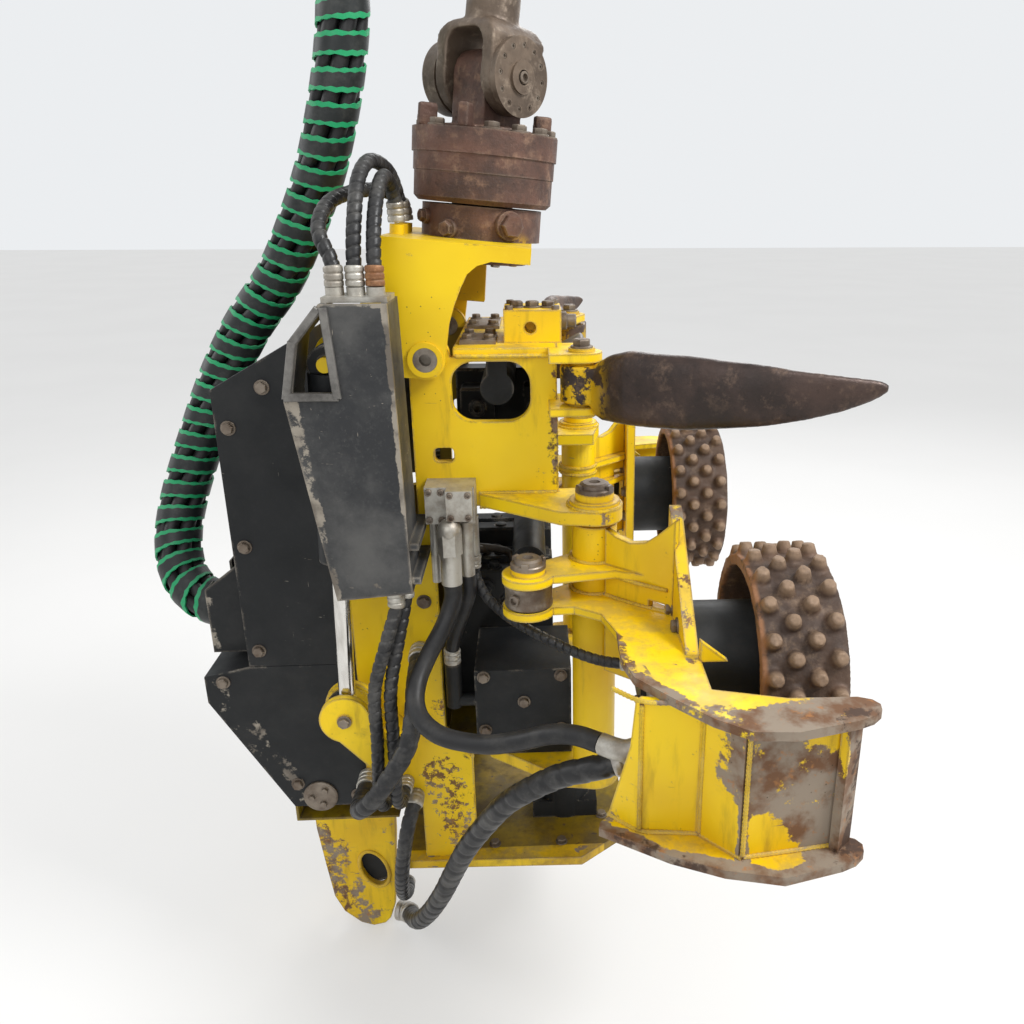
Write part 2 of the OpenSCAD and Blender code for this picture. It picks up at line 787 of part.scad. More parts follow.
module tilt_rod(side) {
  color(chrome) on_tilt_cylinder(side) difference() {
    union() {
      translate([0, 0, tilt_cyl_len - tilt_rod_len]) cylinder(h = tilt_rod_len - 34, d = tilt_rod_d);
      y_cyl(0, -tilt_eye_w / 2, tilt_eye_w / 2, tilt_cyl_len, rod_eye_d);
    }
    y_cyl(0, -50, 50, tilt_cyl_len, tilt_cyl_pin_d + 2 * rod_eye_play);
  }
}

module tilt_rod_near() {
  tilt_rod(-1);
}

module tilt_rod_far() {
  tilt_rod(1);
}

// FEED ARMS

fork_r = 44;
fork_pin_d = 30;
fork_top_z = channel_top_z + 43;
motor_plate_t = 20;
motor_face_x = motor_plate_x + motor_plate_t;
// Front of the channel, where both flanges end in a round corner
channel_front = [[233, -750], [320, -728], [343, -718], [358, -704], [361, -690], [354, -678], [336, -670], [240, -668]];
lower_fork = concat([[-150, -372], [-39, -366], [4, -396], [24, -464], [22, -540], [36, -600], [85, -662],
  [129, -712], [174, -746]], channel_front,
  [[motor_face_x, -640], [motor_face_x, -400], [40, -290], [0, -241], [-100, -306]]);
upper_fork = [[-150, -372], [-62, -366], [30, -350], [motor_plate_x, -392], [motor_plate_x, -362],
  [40, -290], [0, -241], [-100, -306]];
low_flange = concat([[-13, -621], [-16, -634], [81, -698], [153, -731]], channel_front,
  [[motor_face_x, -640], [120, -560], [40, -560]]);
arm_wall = [[20, -315], [motor_plate_x + 4, -402]];

wall_len = norm(arm_wall[1] - arm_wall[0]);

module feed_arm() {
  difference() {
    union() {
      translate([arm_x, -arm_y, hub_foot]) cylinder(h = hub_top - hub_foot, d = hub_d);
      // pin of the feed cylinder with its head
      translate([fork_x, -fork_y, channel_top_z - arm_plate_t - 6])
        cylinder(h = fork_top_z + 2 * arm_plate_t + 6 - channel_top_z, d = fork_pin_d);
      translate([fork_x, -fork_y, fork_top_z + arm_plate_t]) cylinder(h = 12, d = 56);
      xy_plate(channel_top_z - arm_plate_t, channel_top_z) {
        polygon(lower_fork);
        translate([fork_x, -fork_y]) circle(r = fork_r);
        translate([arm_x, -arm_y]) circle(d = hub_d + 4);
      }
      xy_plate(fork_top_z, fork_top_z + arm_plate_t) {
        polygon(upper_fork);
        translate([fork_x, -fork_y]) circle(r = fork_r);
        translate([arm_x, -arm_y]) circle(d = hub_d + 4);
      }
      // wall between the hub and the motor plate, its top rising in a hollow curve
      along(arm_wall[0], arm_wall[1]) xz_plate(-arm_plate_t / 2, arm_plate_t / 2) difference() {
        polygon([[0, roller_z - 80], [0, hub_top], [20, hub_top - 9], [50, hub_top - 14], [80, hub_top - 6],
          [105, hub_top + 14], [wall_len, hub_top + 44], [wall_len, roller_z - 80]]);
        translate([wall_len - 46, roller_z + 10]) square([32, 73]);
      }
      // motor plate with its slanted upper edge
      translate([motor_plate_x, 0, channel_top_z]) rotate([90, 0, 90]) linear_extrude(motor_plate_t)
        polygon([[-600, -157], [-600, -40], [-542, 0], [-352, 160], [-336, 167], [-330, -157], [-400, -197], [-560, -197]]);
      // gusset at the plate's foot
      translate([motor_face_x - 2, -548, channel_top_z - 2]) rotate([90, 0, 0]) linear_extrude(12)
        polygon([[0, 0], [42, 0], [0, 34]]);
    }
    translate([arm_x, -arm_y, 0]) cylinder(h = 2000, d = arm_pin_d + 2 * pin_play);
    x_cyl(motor_plate_x - 5, motor_face_x + 10, -roller_y, roller_z, 60);
  }
}

module feed_arm_near() {
  color(yellow) at_mount() feed_arm();
}

module feed_arm_far() {
  color(yellow) at_mount() mirror([0, 1, 0]) feed_arm();
}

// Upright plates of the channel, as their ends; the first is cut slanting, where the hoses pass
channel_runs = [[[42, -636], [128, -648]], [[128, -648], [180, -704]], [[180, -700], [324, -682]], [[314, -700], [340, -676]]];

module arm_channel() {
  top = channel_top_z - arm_plate_t;
  foot = channel_low_z + arm_plate_t;
  along([4, -600], [42, -636]) xz_plate(-arm_plate_t / 2, arm_plate_t / 2)
    polygon([[0, foot], [58, foot], [58, top], [48, top], [40, top - 80]]);
  for (run = channel_runs) along(run[0], run[1])
    xz_plate(-arm_plate_t / 2, arm_plate_t / 2) translate([0, foot]) square([norm(run[1] - run[0]), top - foot]);
  xy_plate(channel_low_z, foot) polygon(low_flange);
}

// Frame of an upright plate that starts at a and runs toward b
module along(a, b) {
  translate([a[0], a[1], 0]) rotate([0, 0, atan2(b[1] - a[1], b[0] - a[0])]) children();
}

module arm_channel_near() {
  color(yellow) at_mount() arm_channel();
}

module arm_channel_far() {
  color(yellow) at_mount() mirror([0, 1, 0]) arm_channel();
}

motor_x1 = 262;
motor_hub_d = 90;
web_inset = 12;
web_t = 16;

module feed_motor() {
  x_cyl(motor_face_x, motor_x1, -roller_y, roller_z, 190);
  x_cyl(motor_x1, roller_x + roller_w / 2 - web_inset, -roller_y, roller_z, motor_hub_d);
  translate([motor_plate_x - 60, -roller_y - 60, roller_z - 60]) cube([60, 75, 110]);
}

module feed_motor_near() {
  color(black_paint) at_mount() feed_motor();
}

module feed_motor_far() {
  color(black_paint) at_mount() mirror([0, 1, 0]) feed_motor();
}

stud_band = 4;
stud_band_gap = 0.3;
drum_d = roller_d - 2 * stud_band - 2 * stud_band_gap;

// Drum with the web that carries it on the motor's shaft
module feed_roller() {
  x0 = -roller_w / 2;
  bore_d = drum_d - 2 * roller_wall;
  translate([roller_x, -roller_y, roller_z]) {
    difference() {
      x_cyl(x0, -x0, 0, 0, drum_d);
      x_cyl(x0 - 1, -x0 + 1, 0, 0, bore_d);
    }
    difference() {
      x_cyl(-x0 - web_inset - web_t, -x0 - web_inset, 0, 0, bore_d + 2);
      x_cyl(0, -x0, 0, 0, motor_hub_d + 2 * pin_play);
    }
  }
}

// Studs in staggered rings on the thin band that wraps the drum
module roller_studs() {
  x0 = -roller_w / 2;
  edge = stud_d / 2 + 2;
  pitch = (roller_w - 2 * edge) / (stud_rows - 1);
  translate([roller_x, -roller_y, roller_z]) {
    difference() {
      x_cyl(x0, -x0, 0, 0, roller_d);
      x_cyl(x0 - 1, -x0 + 1, 0, 0, roller_d - 2 * stud_band);
    }
    for (row = [0 : stud_rows - 1], i = [0 : stud_count - 1])
      rotate([(i + row % 2 / 2) * 360 / stud_count, 0, 0])
        translate([x0 + edge + row * pitch, 0, roller_d / 2 - 3])
          cylinder(h = stud_h + 3, d1 = stud_d, d2 = stud_d * 0.58, $fn = 13);
  }
}

module feed_roller_near() {
  color(rust) at_mount() feed_roller();
}

module feed_roller_far() {
  color(rust) at_mount() mirror([0, 1, 0]) feed_roller();
}

module roller_studs_near() {
  color(rust) at_mount() roller_studs();
}

module roller_studs_far() {
  color(rust) at_mount() mirror([0, 1, 0]) roller_studs();
}

// FEED ARM CYLINDER, across the head between the two forks

feed_cyl_z = (channel_top_z + fork_top_z) / 2;
feed_eye_w = fork_top_z - channel_top_z - 2 * pin_play;
feed_neck_d = 38;
feed_barrel_d = 62;
feed_rod_d = 24;

module feed_barrel() {
  color(black_paint) at_mount() translate([fork_x, -fork_y, feed_cyl_z]) difference() {
    union() {
      translate([0, 0, -feed_eye_w / 2]) cylinder(h = feed_eye_w, d = 78);
      y_cyl(0, 20, 140, 0, feed_neck_d);
      y_cyl(0, 130, 430, 0, feed_barrel_d);
    }
    translate([0, 0, -50]) cylinder(h = 100, d = fork_pin_d + 2 * pin_play);
    y_cyl(0, 170, 500, 0, feed_rod_d + 2 * pin_play);
  }
}

module feed_rod() {
  color(chrome) at_mount() translate([fork_x, fork_y, feed_cyl_z]) difference() {
    union() {
      translate([0, 0, -feed_eye_w / 2]) cylinder(h = feed_eye_w, d = 78);
      y_cyl(0, -480, -20, 0, feed_rod_d);
    }
    // open around its pin, because the two arms' forks and the rod part a little
    translate([0, 0, -50]) cylinder(h = 100, d = fork_pin_d + 20);
  }
}

// UPPER KNIVES

knife_steps = 12;
knife_sag = 62;
knife_root = 50;
function knife_mid(t) = [knife_reach * t, -4 * knife_sag * t * (1 - t)];
function knife_half(t) = t < 0.2 ? 16 + 55 * t : 27 - 25 * (t - 0.2);

module knife_plan() {
  polygon([for (i = [0 : knife_steps]) let (t = i / knife_steps) knife_mid(t) + [0, -knife_half(t)],
    for (i = [knife_steps : -1 : 0]) let (t = i / knife_steps) knife_mid(t) + [0, knife_half(t)]]);
}

// The blade seen from its side, its height from the blade's foot at the root
module knife_side() {
  hub = knife_hub_z - knife_foot;
  polygon([[0, hub], [knife_root, hub], [knife_root, -6], [105, -3], [206, 4], [332, 22], [knife_reach - 60, 46],
    [knife_reach, 71], [knife_reach, 93], [knife_reach - 80, 101], [295, 113], [201, 118], [102, 116],
    [knife_root + 14, 108], [knife_root, hub + knife_hub_h], [0, hub + knife_hub_h]]);
}

module knife() {
  difference() {
    union() {
      intersection() {
        xy_plate(-20, 150) knife_plan();
        xz_plate(-200, 200) knife_side();
      }
      translate([0, 0, knife_hub_z - knife_foot]) cylinder(h = knife_hub_h, d = knife_hub_d);
    }
    translate([0, 0, -50]) cylinder(h = 250, d = arm_pin_d + 2 * pin_play);
  }
}

module knife_near() {
  color(rust) at_mount() translate([knife_x, -knife_y, knife_foot]) rotate([0, 0, -near_knife_open]) knife();
}

module knife_far() {
  color(rust) at_mount() mirror([0, 1, 0]) translate([knife_x, -knife_y, knife_foot])
    rotate([0, 0, -far_knife_open]) knife();
}

// HOSES

// Route of the bundle, from its coupler above the link to the bracket behind the head
bundle_route = [[-407, 0, 1990], [-407, 0, 1930], [-411, 1, 1880], [-427, 5, 1800], [-452, 15, 1716], [-480, 32, 1645],
  [-522, 52, 1562], [-580, 70, 1462], [-662, 85, 1361], [-729, 95, 1252], [-779, 88, 1142], [-818, 62, 1035],
  [-832, 28, 955], [-820, -10, 893], [-783, -42, 853], [-730, -60, 834], [-690, -60, 834], [cover_back_x - 0.5, -60, 834]];
bundle_d = 92;
bundle_sides = 10;

// Routes of the three hoses from the ports on the top plate to the guard
guard_top_routes = [
  [[-325, -125, 1564], [-326, -128, 1600], [-329, -150, 1626], [-332, -190, 1634], [-335, -236, 1612],
    [-337, -276, 1570], [-337, -304, 1518], [-337, -308, 1476]],
  [[-325, -70, 1564], [-327, -72, 1604], [-336, -108, 1645], [-353, -176, 1658], [-363, -238, 1629],
    [-366, -283, 1568], [-367, -305, 1516], [-367, -308, 1476]],
  [[-325, -15, 1564], [-330, -20, 1594], [-352, -70, 1614], [-386, -150, 1612], [-414, -228, 1594],
    [-420, -284, 1556], [-400, -307, 1512], [-399, -308, 1476]]];
guard_hose_d = 24;

// Routes of the two hoses from the guard's foot down to the side plate
guard_foot_routes = [
  [[-339, -338, 982.2], [-339, -339, 950], [-358, -353, 890], [-384, -354, 800], [-387, -356, 700],
    [-392, -352, 610], [-397, -325, 545], [-397, -285, 512], [-397, -250, 506], [-397, -frame_half - 0.5, 506]],
  [[-328, -300, 982.2], [-328, -302, 950], [-340, -325, 890], [-357, -352, 800], [-359, -356, 700],
    [-362, -352, 610], [-366, -325, 549], [-367, -285, 516], [-367, -250, 510], [-367, -frame_half - 0.5, 510]]];

// Routes of the hoses to the near arm: from the block, from the small ferrule, and from the saw
arm_feed_d = 32;
arm_feed_route = [[-249, -280, 966.5], [-249, -280, 938], [-265, -297, 895], [-291, -324, 853], [-308, -354, 821],
  [-311, -386, 796], [-298, -414, 777], [-268, -438, 764], [-226, -458, 762], [-178, -480, 770], [-129, -502, 791],
  [-84, -524, 815], [-46, -548, 828], [-10, -574, 830]];
arm_light_d = 19;
arm_light_route = [[-212, -228, 999], [-212, -230, 966], [-194, -256, 932], [-156, -298, 911], [-116, -328, 897],
  [-80, -346, 884], [-43, -366, 874], [-4, -396, 873], [30, -430, 884], [motor_plate_x - 60.5, -430, 884]];
arm_saw_d = 40;
arm_saw_route = [[52, -556, 800], [20, -562, 788], [-22, -556, 772], [-66, -532, 745], [-112, -500, 700],
  [-158, -460, 640], [-198, -420, 566], [-238, -380, 482], [-269, -340, 395], [-300, -292, 300], [-335, -237, 205],
  [-366, -182, 130], [-388, -128, 78], [-402, -88, 48], [-416, -62, 37], [-440, -horn_near + horn_t / 2, 35]];

// Routes of the short hoses on the frame
block_hose_d = 26;
block_route = [[-222, -256, 971.5], [-222, -256, 940], [-236, -248, 895], [-252, -236, 850], [-261, -227, 812], [-262, -226, 780.5]];
cross_hose_d = 34;
cross_route = [[-322, -frame_half - 0.5, 800], [-322, -245, 800], [-320, -318, 790], [-318, -372, 762], [-328, -396, 715],
  [-358, -402, 662], [-394, -396, 608], [-428, -362, 560], [-440, -304, 532], [-440, -250, 524], [-440, -frame_half - 0.5, 524]];
tail_hose_d = 30;
tail_route = [[-352, -frame_half - 0.5, 474], [-352, -240, 474], [-362, -266, 444], [-374, -266, 384], [-386, -244, 310],
  [-396, -204, 236], [-402, -158, 180], [-404, -110, 142], [-410, -68, 126], [-431, -horn_near + horn_t / 2, 121]];

// Point and direction on the route's smooth curve, u counts route points
function spline(p, u) = let (n = len(p), i = min(floor(u), n - 2), t = u - i,
    a = p[max(i - 1, 0)], b = p[i], c = p[i + 1], d = p[min(i + 2, n - 1)])
  0.5 * ((2 * b) + (c - a) * t + (2 * a - 5 * b + 4 * c - d) * t * t + (3 * b - a - 3 * c + d) * t * t * t);

function unit(v) = v / norm(v);

module tube(route, d, rings, sides) {
  n = len(route) - 1;
  points = [for (k = [0 : rings]) let (
      u = n * k / rings,
      c = spline(route, u),
      t = unit(spline(route, min(u + 0.02, n)) - spline(route, max(u - 0.02, 0))),
      side = unit(cross(t, [0, 1, 0])),
      up = cross(side, t))
    for (j = [0 : sides - 1]) c + d / 2 * (side * cos(360 * j / sides) + up * sin(360 * j / sides))];
  faces = [[for (j = [sides - 1 : -1 : 0]) j],
    for (k = [0 : rings - 1], j = [0 : sides - 1]) let (near = k * sides, far = near + sides, next = (j + 1) % sides)
      each [[near + j, near + next, far + next], [near + j, far + next, far + j]],
    [for (j = [0 : sides - 1]) rings * sides + j]];
  polyhedron(points, faces);
}

module hose_bundle() {
  color(rubber) at_mount() tube(bundle_route, bundle_d, 26, bundle_sides);
}

module hose_guard_top() {
  color(rubber) at_mount() for (route = guard_top_routes) tube(route, guard_hose_d, 10, 8);
}

module hose_guard_foot() {
  color(rubber) at_mount() for (route = guard_foot_routes) tube(route, guard_hose_d, 12, 8);
}

module hose_arm_near() {
  color(rubber) at_mount() {
    tube(arm_feed_route, arm_feed_d, 18, 8);
    tube(arm_light_route, arm_light_d, 16, 8);
    tube(arm_saw_route, arm_saw_d, 20, 8);
  }
}

module hose_frame_low() {
  color(rubber) at_mount() {
    tube(block_route, block_hose_d, 6, 8);
    tube(cross_route, cross_hose_d, 14, 8);
    tube(tail_route, tail_hose_d, 12, 8);
  }
}

// FITTINGS

module fitting_bundle_coupler() {
  top = bundle_route[0];
  color(zinc) at_mount() translate(top + [0, 0, 0.5]) {
    cylinder(h = 34, d = bundle_d + 6);
    translate([0, 0, 34]) cylinder(h = 14, d = 70);
  }
}

module fitting_guard_top() {
  color(zinc) at_mount() {
    translate([-413, -346, guard_top]) cube([98, 76, 8]);
    for (route = guard_top_routes) let (end = route[len(route) - 1])
      translate([end[0], end[1], guard_top + 7]) cylinder(h = end[2] - guard_top - 8.1, d = 28);
  }
}

module fitting_arm_near() {
  end = arm_feed_route[len(arm_feed_route) - 1];
  color(zinc) at_mount() {
    // ferrule and elbow of the thick hose, then the pipe to the motor's block
    tube([end + [0.7, -0.5, 0], end + [26, -18.5, 0], [34, -598, 833], [56, -596, 846], [74, -568, 872], [80, -530, 893],
      [80, -roller_y - 60.9, 895]], 34, 16, 12);
    // pipe of the saw's hose to the motor's block
    tube([arm_saw_route[0] + [0.7, 0.1, 0.3], arm_saw_route[0] + [18, 3, 7], [90, -540, 822], [98, -520, 846],
      [98, -roller_y - 60.9, 848]], 30, 8, 12);
  }
}

link_yoke();
link_brake_covers();
link_swing_pin();
rotator_housing();
rotator_flanges();
rotator_body();
tilt_top_plate();
tilt_side_near();
tilt_side_far();
tilt_back_plate();
frame_side_near();
frame_side_far();
frame_top_plate();
frame_cross_plates();
frame_shelf();
arm_lugs();
tilt_pins();
rod_lugs();
knife_lugs();
fixed_knife();
rear_cover();
rear_lower_cover();
hose_bracket();
guard_near();
guard_far();
saw_box_plate();
saw_box_rail();
saw_horn();
saw_motor();
saw_bar();
valve_block();
hydraulic_block();
inner_valve_box();
inner_knife_cylinder();
tilt_barrel_near();
tilt_barrel_far();
tilt_rod_near();
tilt_rod_far();
feed_arm_near();
feed_arm_far();
arm_channel_near();
arm_channel_far();
feed_motor_near();
feed_motor_far();
feed_roller_near();
feed_roller_far();
roller_studs_near();
roller_studs_far();
feed_barrel();
feed_rod();
knife_near();
knife_far();
fitting_bundle_coupler();
fitting_guard_top();
fitting_arm_near();
hose_bundle();
hose_guard_top();
hose_guard_foot();
hose_arm_near();
hose_frame_low();
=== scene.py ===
# Forestry harvester head with its link and rotator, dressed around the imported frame
import json
import math
import random

import bmesh
import bpy
from mathutils import Matrix, Vector, noise


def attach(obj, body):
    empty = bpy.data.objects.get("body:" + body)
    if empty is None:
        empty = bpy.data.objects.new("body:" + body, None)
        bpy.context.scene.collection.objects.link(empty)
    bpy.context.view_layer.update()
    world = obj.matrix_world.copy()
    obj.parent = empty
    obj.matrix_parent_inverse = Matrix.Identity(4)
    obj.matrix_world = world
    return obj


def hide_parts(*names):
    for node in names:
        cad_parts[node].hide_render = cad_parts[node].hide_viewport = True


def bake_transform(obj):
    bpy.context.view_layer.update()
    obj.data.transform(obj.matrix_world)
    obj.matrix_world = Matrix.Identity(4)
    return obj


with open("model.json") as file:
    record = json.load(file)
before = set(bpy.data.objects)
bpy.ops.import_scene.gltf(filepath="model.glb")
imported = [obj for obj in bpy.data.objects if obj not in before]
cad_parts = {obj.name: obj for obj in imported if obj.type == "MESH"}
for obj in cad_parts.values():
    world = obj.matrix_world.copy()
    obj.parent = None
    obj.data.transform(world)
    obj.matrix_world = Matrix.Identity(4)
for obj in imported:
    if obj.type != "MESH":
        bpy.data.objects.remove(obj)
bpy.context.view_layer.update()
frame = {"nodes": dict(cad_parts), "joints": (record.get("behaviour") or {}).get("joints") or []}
nodes = frame["nodes"]
joints = {j["name"]: j for j in frame["joints"]}
random.seed(7)

# Points are written as millimetres from the ground and the head's middle plane, as in the part
tiltPinFromGround = Vector((-0.278, 0, 1.350))
toFrame = Vector(joints["head_tilt"]["pos_m"]) - tiltPinFromGround
groundZ = toFrame.z


def at(x, y, z):
    return Vector((x, y, z)) / 1000 + toFrame


# The tilt frame and all above it lean on the tilt pins, and the link is turned on the swing pin
stance = {"lean": 5, "reach": 70, "swingPin": 456, "yaw": 46, "linkRest": 2}


def leanedAt(x, y, z):
    turned = Matrix.Rotation(math.radians(stance["lean"]), 3, "Y") @ Vector((x, y, z))
    return at(*(turned + tiltPinFromGround * 1000))


def linkAt(x, y, z):
    turned = Matrix.Rotation(math.radians(stance["linkRest"]), 3, "Y") @ Vector((x, y, z))
    turned = Matrix.Rotation(math.radians(stance["yaw"]), 3, "Z") @ turned
    return leanedAt(*(turned + Vector((stance["reach"], 0, stance["swingPin"]))))


# Camera at eye height, looking down on the head
cameraSpec = {
    "place": (-97.9, -1697.2, 1600),
    "pitchDown": 19.6,
    "heading": -3.3,
    "focalPixels": 878,
    "imageWidth": 1024,
    "middlePixel": 585,
    "sensor": 36,
}


def makeCamera():
    data = bpy.data.cameras.new("camera")
    data.sensor_width = cameraSpec["sensor"]
    data.lens = cameraSpec["sensor"] * cameraSpec["focalPixels"] / cameraSpec["imageWidth"]
    data.shift_x = 0.5 - cameraSpec["middlePixel"] / cameraSpec["imageWidth"]
    camera = bpy.data.objects.new("camera", data)
    camera.location = at(*cameraSpec["place"])
    pitch = math.radians(90 - cameraSpec["pitchDown"])
    camera.rotation_euler = (pitch, 0, math.radians(cameraSpec["heading"]))
    bpy.context.scene.collection.objects.link(camera)
    bpy.context.scene.camera = camera


makeCamera()
print("camera placed")


# Where materials change, in metres: inside the frame, where grease and painted shade darken the paint, and on the
# feed rollers from their axis outward, where painted shade deepens the hollows between the studs
greaseAndShadeZone = {"between": (0.1912, 0.1895), "below": (1.349, 1.344)}
rollerWearAndShade = {"across": 0.429, "rise": 0.889, "knocked": (0.174, 0.184), "hollow": (0.1735, 0.1700),
              "disc": (0.160, 0.167), "rim": (0.236, 0.229)}


# Small kit for node materials: each call adds one node and returns its output
class Shade:
    def __init__(self, name):
        self.material = bpy.data.materials.new(name)
        self.material.use_nodes = True
        self.tree = self.material.node_tree
        self.tree.nodes.clear()
        self.out = self.tree.nodes.new("ShaderNodeOutputMaterial")
        self.surface = self.tree.nodes.new("ShaderNodeBsdfPrincipled")
        self.tree.links.new(self.surface.outputs[0], self.out.inputs[0])
        self.coord = self.tree.nodes.new("ShaderNodeTexCoord")

    def put(self, socket, value):
        if isinstance(value, bpy.types.NodeSocket):
            self.tree.links.new(value, socket)
        elif isinstance(value, (tuple, list)) and len(value) == 3 and socket.type == "RGBA":
            socket.default_value = (*value, 1)
        elif value is not None:
            socket.default_value = value

    def add(self, kind, values=(), **settings):
        node = self.tree.nodes.new("ShaderNode" + kind)
        for key, value in settings.items():
            setattr(node, key, value)
        for i, value in enumerate(values):
            self.put(node.inputs[i], value)
        return node

    def place(self, scale, turn=(0, 0, 0)):
        return self.add("Mapping", [self.coord.outputs["Object"], (0, 0, 0), turn, scale]).outputs[0]

    # One coordinate of the point in the frame: 0 is x, 1 is y and 2 is z
    def where(self, axis):
        return self.add("SeparateXYZ", [self.coord.outputs["Object"]]).outputs[axis]

    def noise(self, scale, detail=4, rough=0.5, bend=0, place=None):
        node = self.add("TexNoise")
        self.put(node.inputs["Vector"], place or self.coord.outputs["Object"])
        for name, value in (("Scale", scale), ("Detail", detail), ("Roughness", rough), ("Distortion", bend)):
            self.put(node.inputs[name], value)
        return node.outputs[0]

    def cells(self, scale):
        node = self.add("TexVoronoi")
        self.put(node.inputs["Vector"], self.coord.outputs["Object"])
        self.put(node.inputs["Scale"], scale)
        return node.outputs["Distance"]

    def calc(self, operation, a, b=None, clamp=False):
        return self.add("Math", [a] if b is None else [a, b], operation=operation, use_clamp=clamp).outputs[0]

    def times(self, *values):
        found = values[0]
        for value in values[1:]:
            found = self.calc("MULTIPLY", found, value)
        return found

    def most(self, *values):
        found = values[0]
        for value in values[1:]:
            found = self.calc("MAXIMUM", found, value)
        return found

    def span(self, value, low, high, start=0.0, end=1.0):
        return self.add("MapRange", [value, low, high, start, end], interpolation_type="SMOOTHSTEP").outputs[0]

    # Two colours mixed, and below it two numbers
    def mix(self, share, a, b):
        node = self.add("Mix", data_type="RGBA")
        for socket, value in ((0, share), (6, a), (7, b)):
            self.put(node.inputs[socket], value)
        return node.outputs[2]

    def blend(self, share, a, b):
        node = self.add("Mix", data_type="FLOAT")
        for socket, value in ((0, share), (2, a), (3, b)):
            self.put(node.inputs[socket], value)
        return node.outputs[0]

    def vector(self, operation, a, b, result=0):
        return self.add("VectorMath", [a, b], operation=operation).outputs[result]

    # 0 on flats and 1 along outer edges
    def edges(self, radius):
        bevel = self.add("Bevel", [radius], samples=3)
        face = self.add("NewGeometry").outputs["Normal"]
        return self.span(self.vector("DOT_PRODUCT", bevel.outputs[0], face, "Value"), 0.995, 0.86)

    # 1 at a point of the frame, fading out to 0 at the radius
    def near(self, point, radius):
        gap = self.vector("DISTANCE", self.coord.outputs["Object"], tuple(point), "Value")
        return self.span(gap, radius, radius * 0.35)

    # 1 along the line between two points, fading out to 0 at the radius
    def between(self, a, b, radius):
        way = b - a
        here = self.vector("SUBTRACT", self.coord.outputs["Object"], tuple(a))
        gone = self.vector("DOT_PRODUCT", here, tuple(way), "Value")
        share = self.calc("DIVIDE", gone, way.length_squared, clamp=True)
        foot = self.add("VectorMath", [tuple(way)], operation="SCALE")
        self.put(foot.inputs["Scale"], share)
        return self.span(self.vector("DISTANCE", here, foot.outputs[0], "Value"), radius, radius * 0.3)

    # Worn places are given as point, radius and share, or as two ends of a line, radius and share
    def worn(self, spots):
        found = None
        for spot in spots:
            if len(spot) == 3:
                mask = self.near(at(*spot[0]), spot[1])
            else:
                mask = self.between(at(*spot[0]), at(*spot[1]), spot[2])
            mask = self.times(mask, spot[-1])
            found = mask if found is None else self.most(found, mask)
        return found

    # Height above the ground, and distance from the middle plane to either side, in metres
    def height(self):
        return self.calc("SUBTRACT", self.where(2), groundZ)

    def fromMiddle(self):
        return self.calc("ABSOLUTE", self.calc("SUBTRACT", self.where(1), toFrame.y))

    # 1 between the frame's side plates and below the top plate, where grease and painted shade darken the paint
    def inside(self):
        low = self.span(self.height(), *greaseAndShadeZone["below"])
        return self.times(self.span(self.fromMiddle(), *greaseAndShadeZone["between"]), low)

    # Distance from the axis of the feed rollers, the same for both sides
    def fromRollerAxis(self):
        across = self.calc("SUBTRACT", self.fromMiddle(), rollerWearAndShade["across"])
        rise = self.calc("SUBTRACT", self.height(), rollerWearAndShade["rise"])
        return self.calc("SQRT", self.calc("ADD", self.times(across, across), self.times(rise, rise)))

    def upward(self):
        return self.add("SeparateXYZ", [self.add("NewGeometry").outputs["Normal"]]).outputs[2]

    def finish(self, colour, rough, metal=0.0, height=None, strength=0.4, distance=0.002, sheen=0.5):
        sockets = self.surface.inputs
        self.put(sockets["Base Color"], colour)
        self.put(sockets["Roughness"], rough)
        self.put(sockets["Metallic"], metal)
        sockets["Specular IOR Level"].default_value = sheen
        if height is not None:
            bump = self.add("Bump")
            for name, value in (("Strength", strength), ("Distance", distance), ("Height", height)):
                self.put(bump.inputs[name], value)
            self.put(sockets["Normal"], bump.outputs[0])
        return self.material


paintTones = {
    "yellow": (0.86, 0.595, 0.005),
    "yellowDeep": (0.69, 0.425, 0.004),
    "yellowPale": (0.87, 0.64, 0.025),
    "stain": (0.24, 0.14, 0.018),
    "grime": (0.055, 0.038, 0.020),
    "rust": (0.140, 0.066, 0.030),
    "orangeRust": (0.34, 0.145, 0.045),
    "darkRust": (0.050, 0.026, 0.016),
    # near black, for grease and painted shade between the side plates
    "greaseAndShadeTone": (0.014, 0.011, 0.008),
    "bare": (0.25, 0.20, 0.150),
    "black": (0.011, 0.012, 0.013),
    "blackDust": (0.045, 0.044, 0.042),
    "greyBlack": (0.026, 0.027, 0.029),
    "greyDust": (0.105, 0.103, 0.098),
}
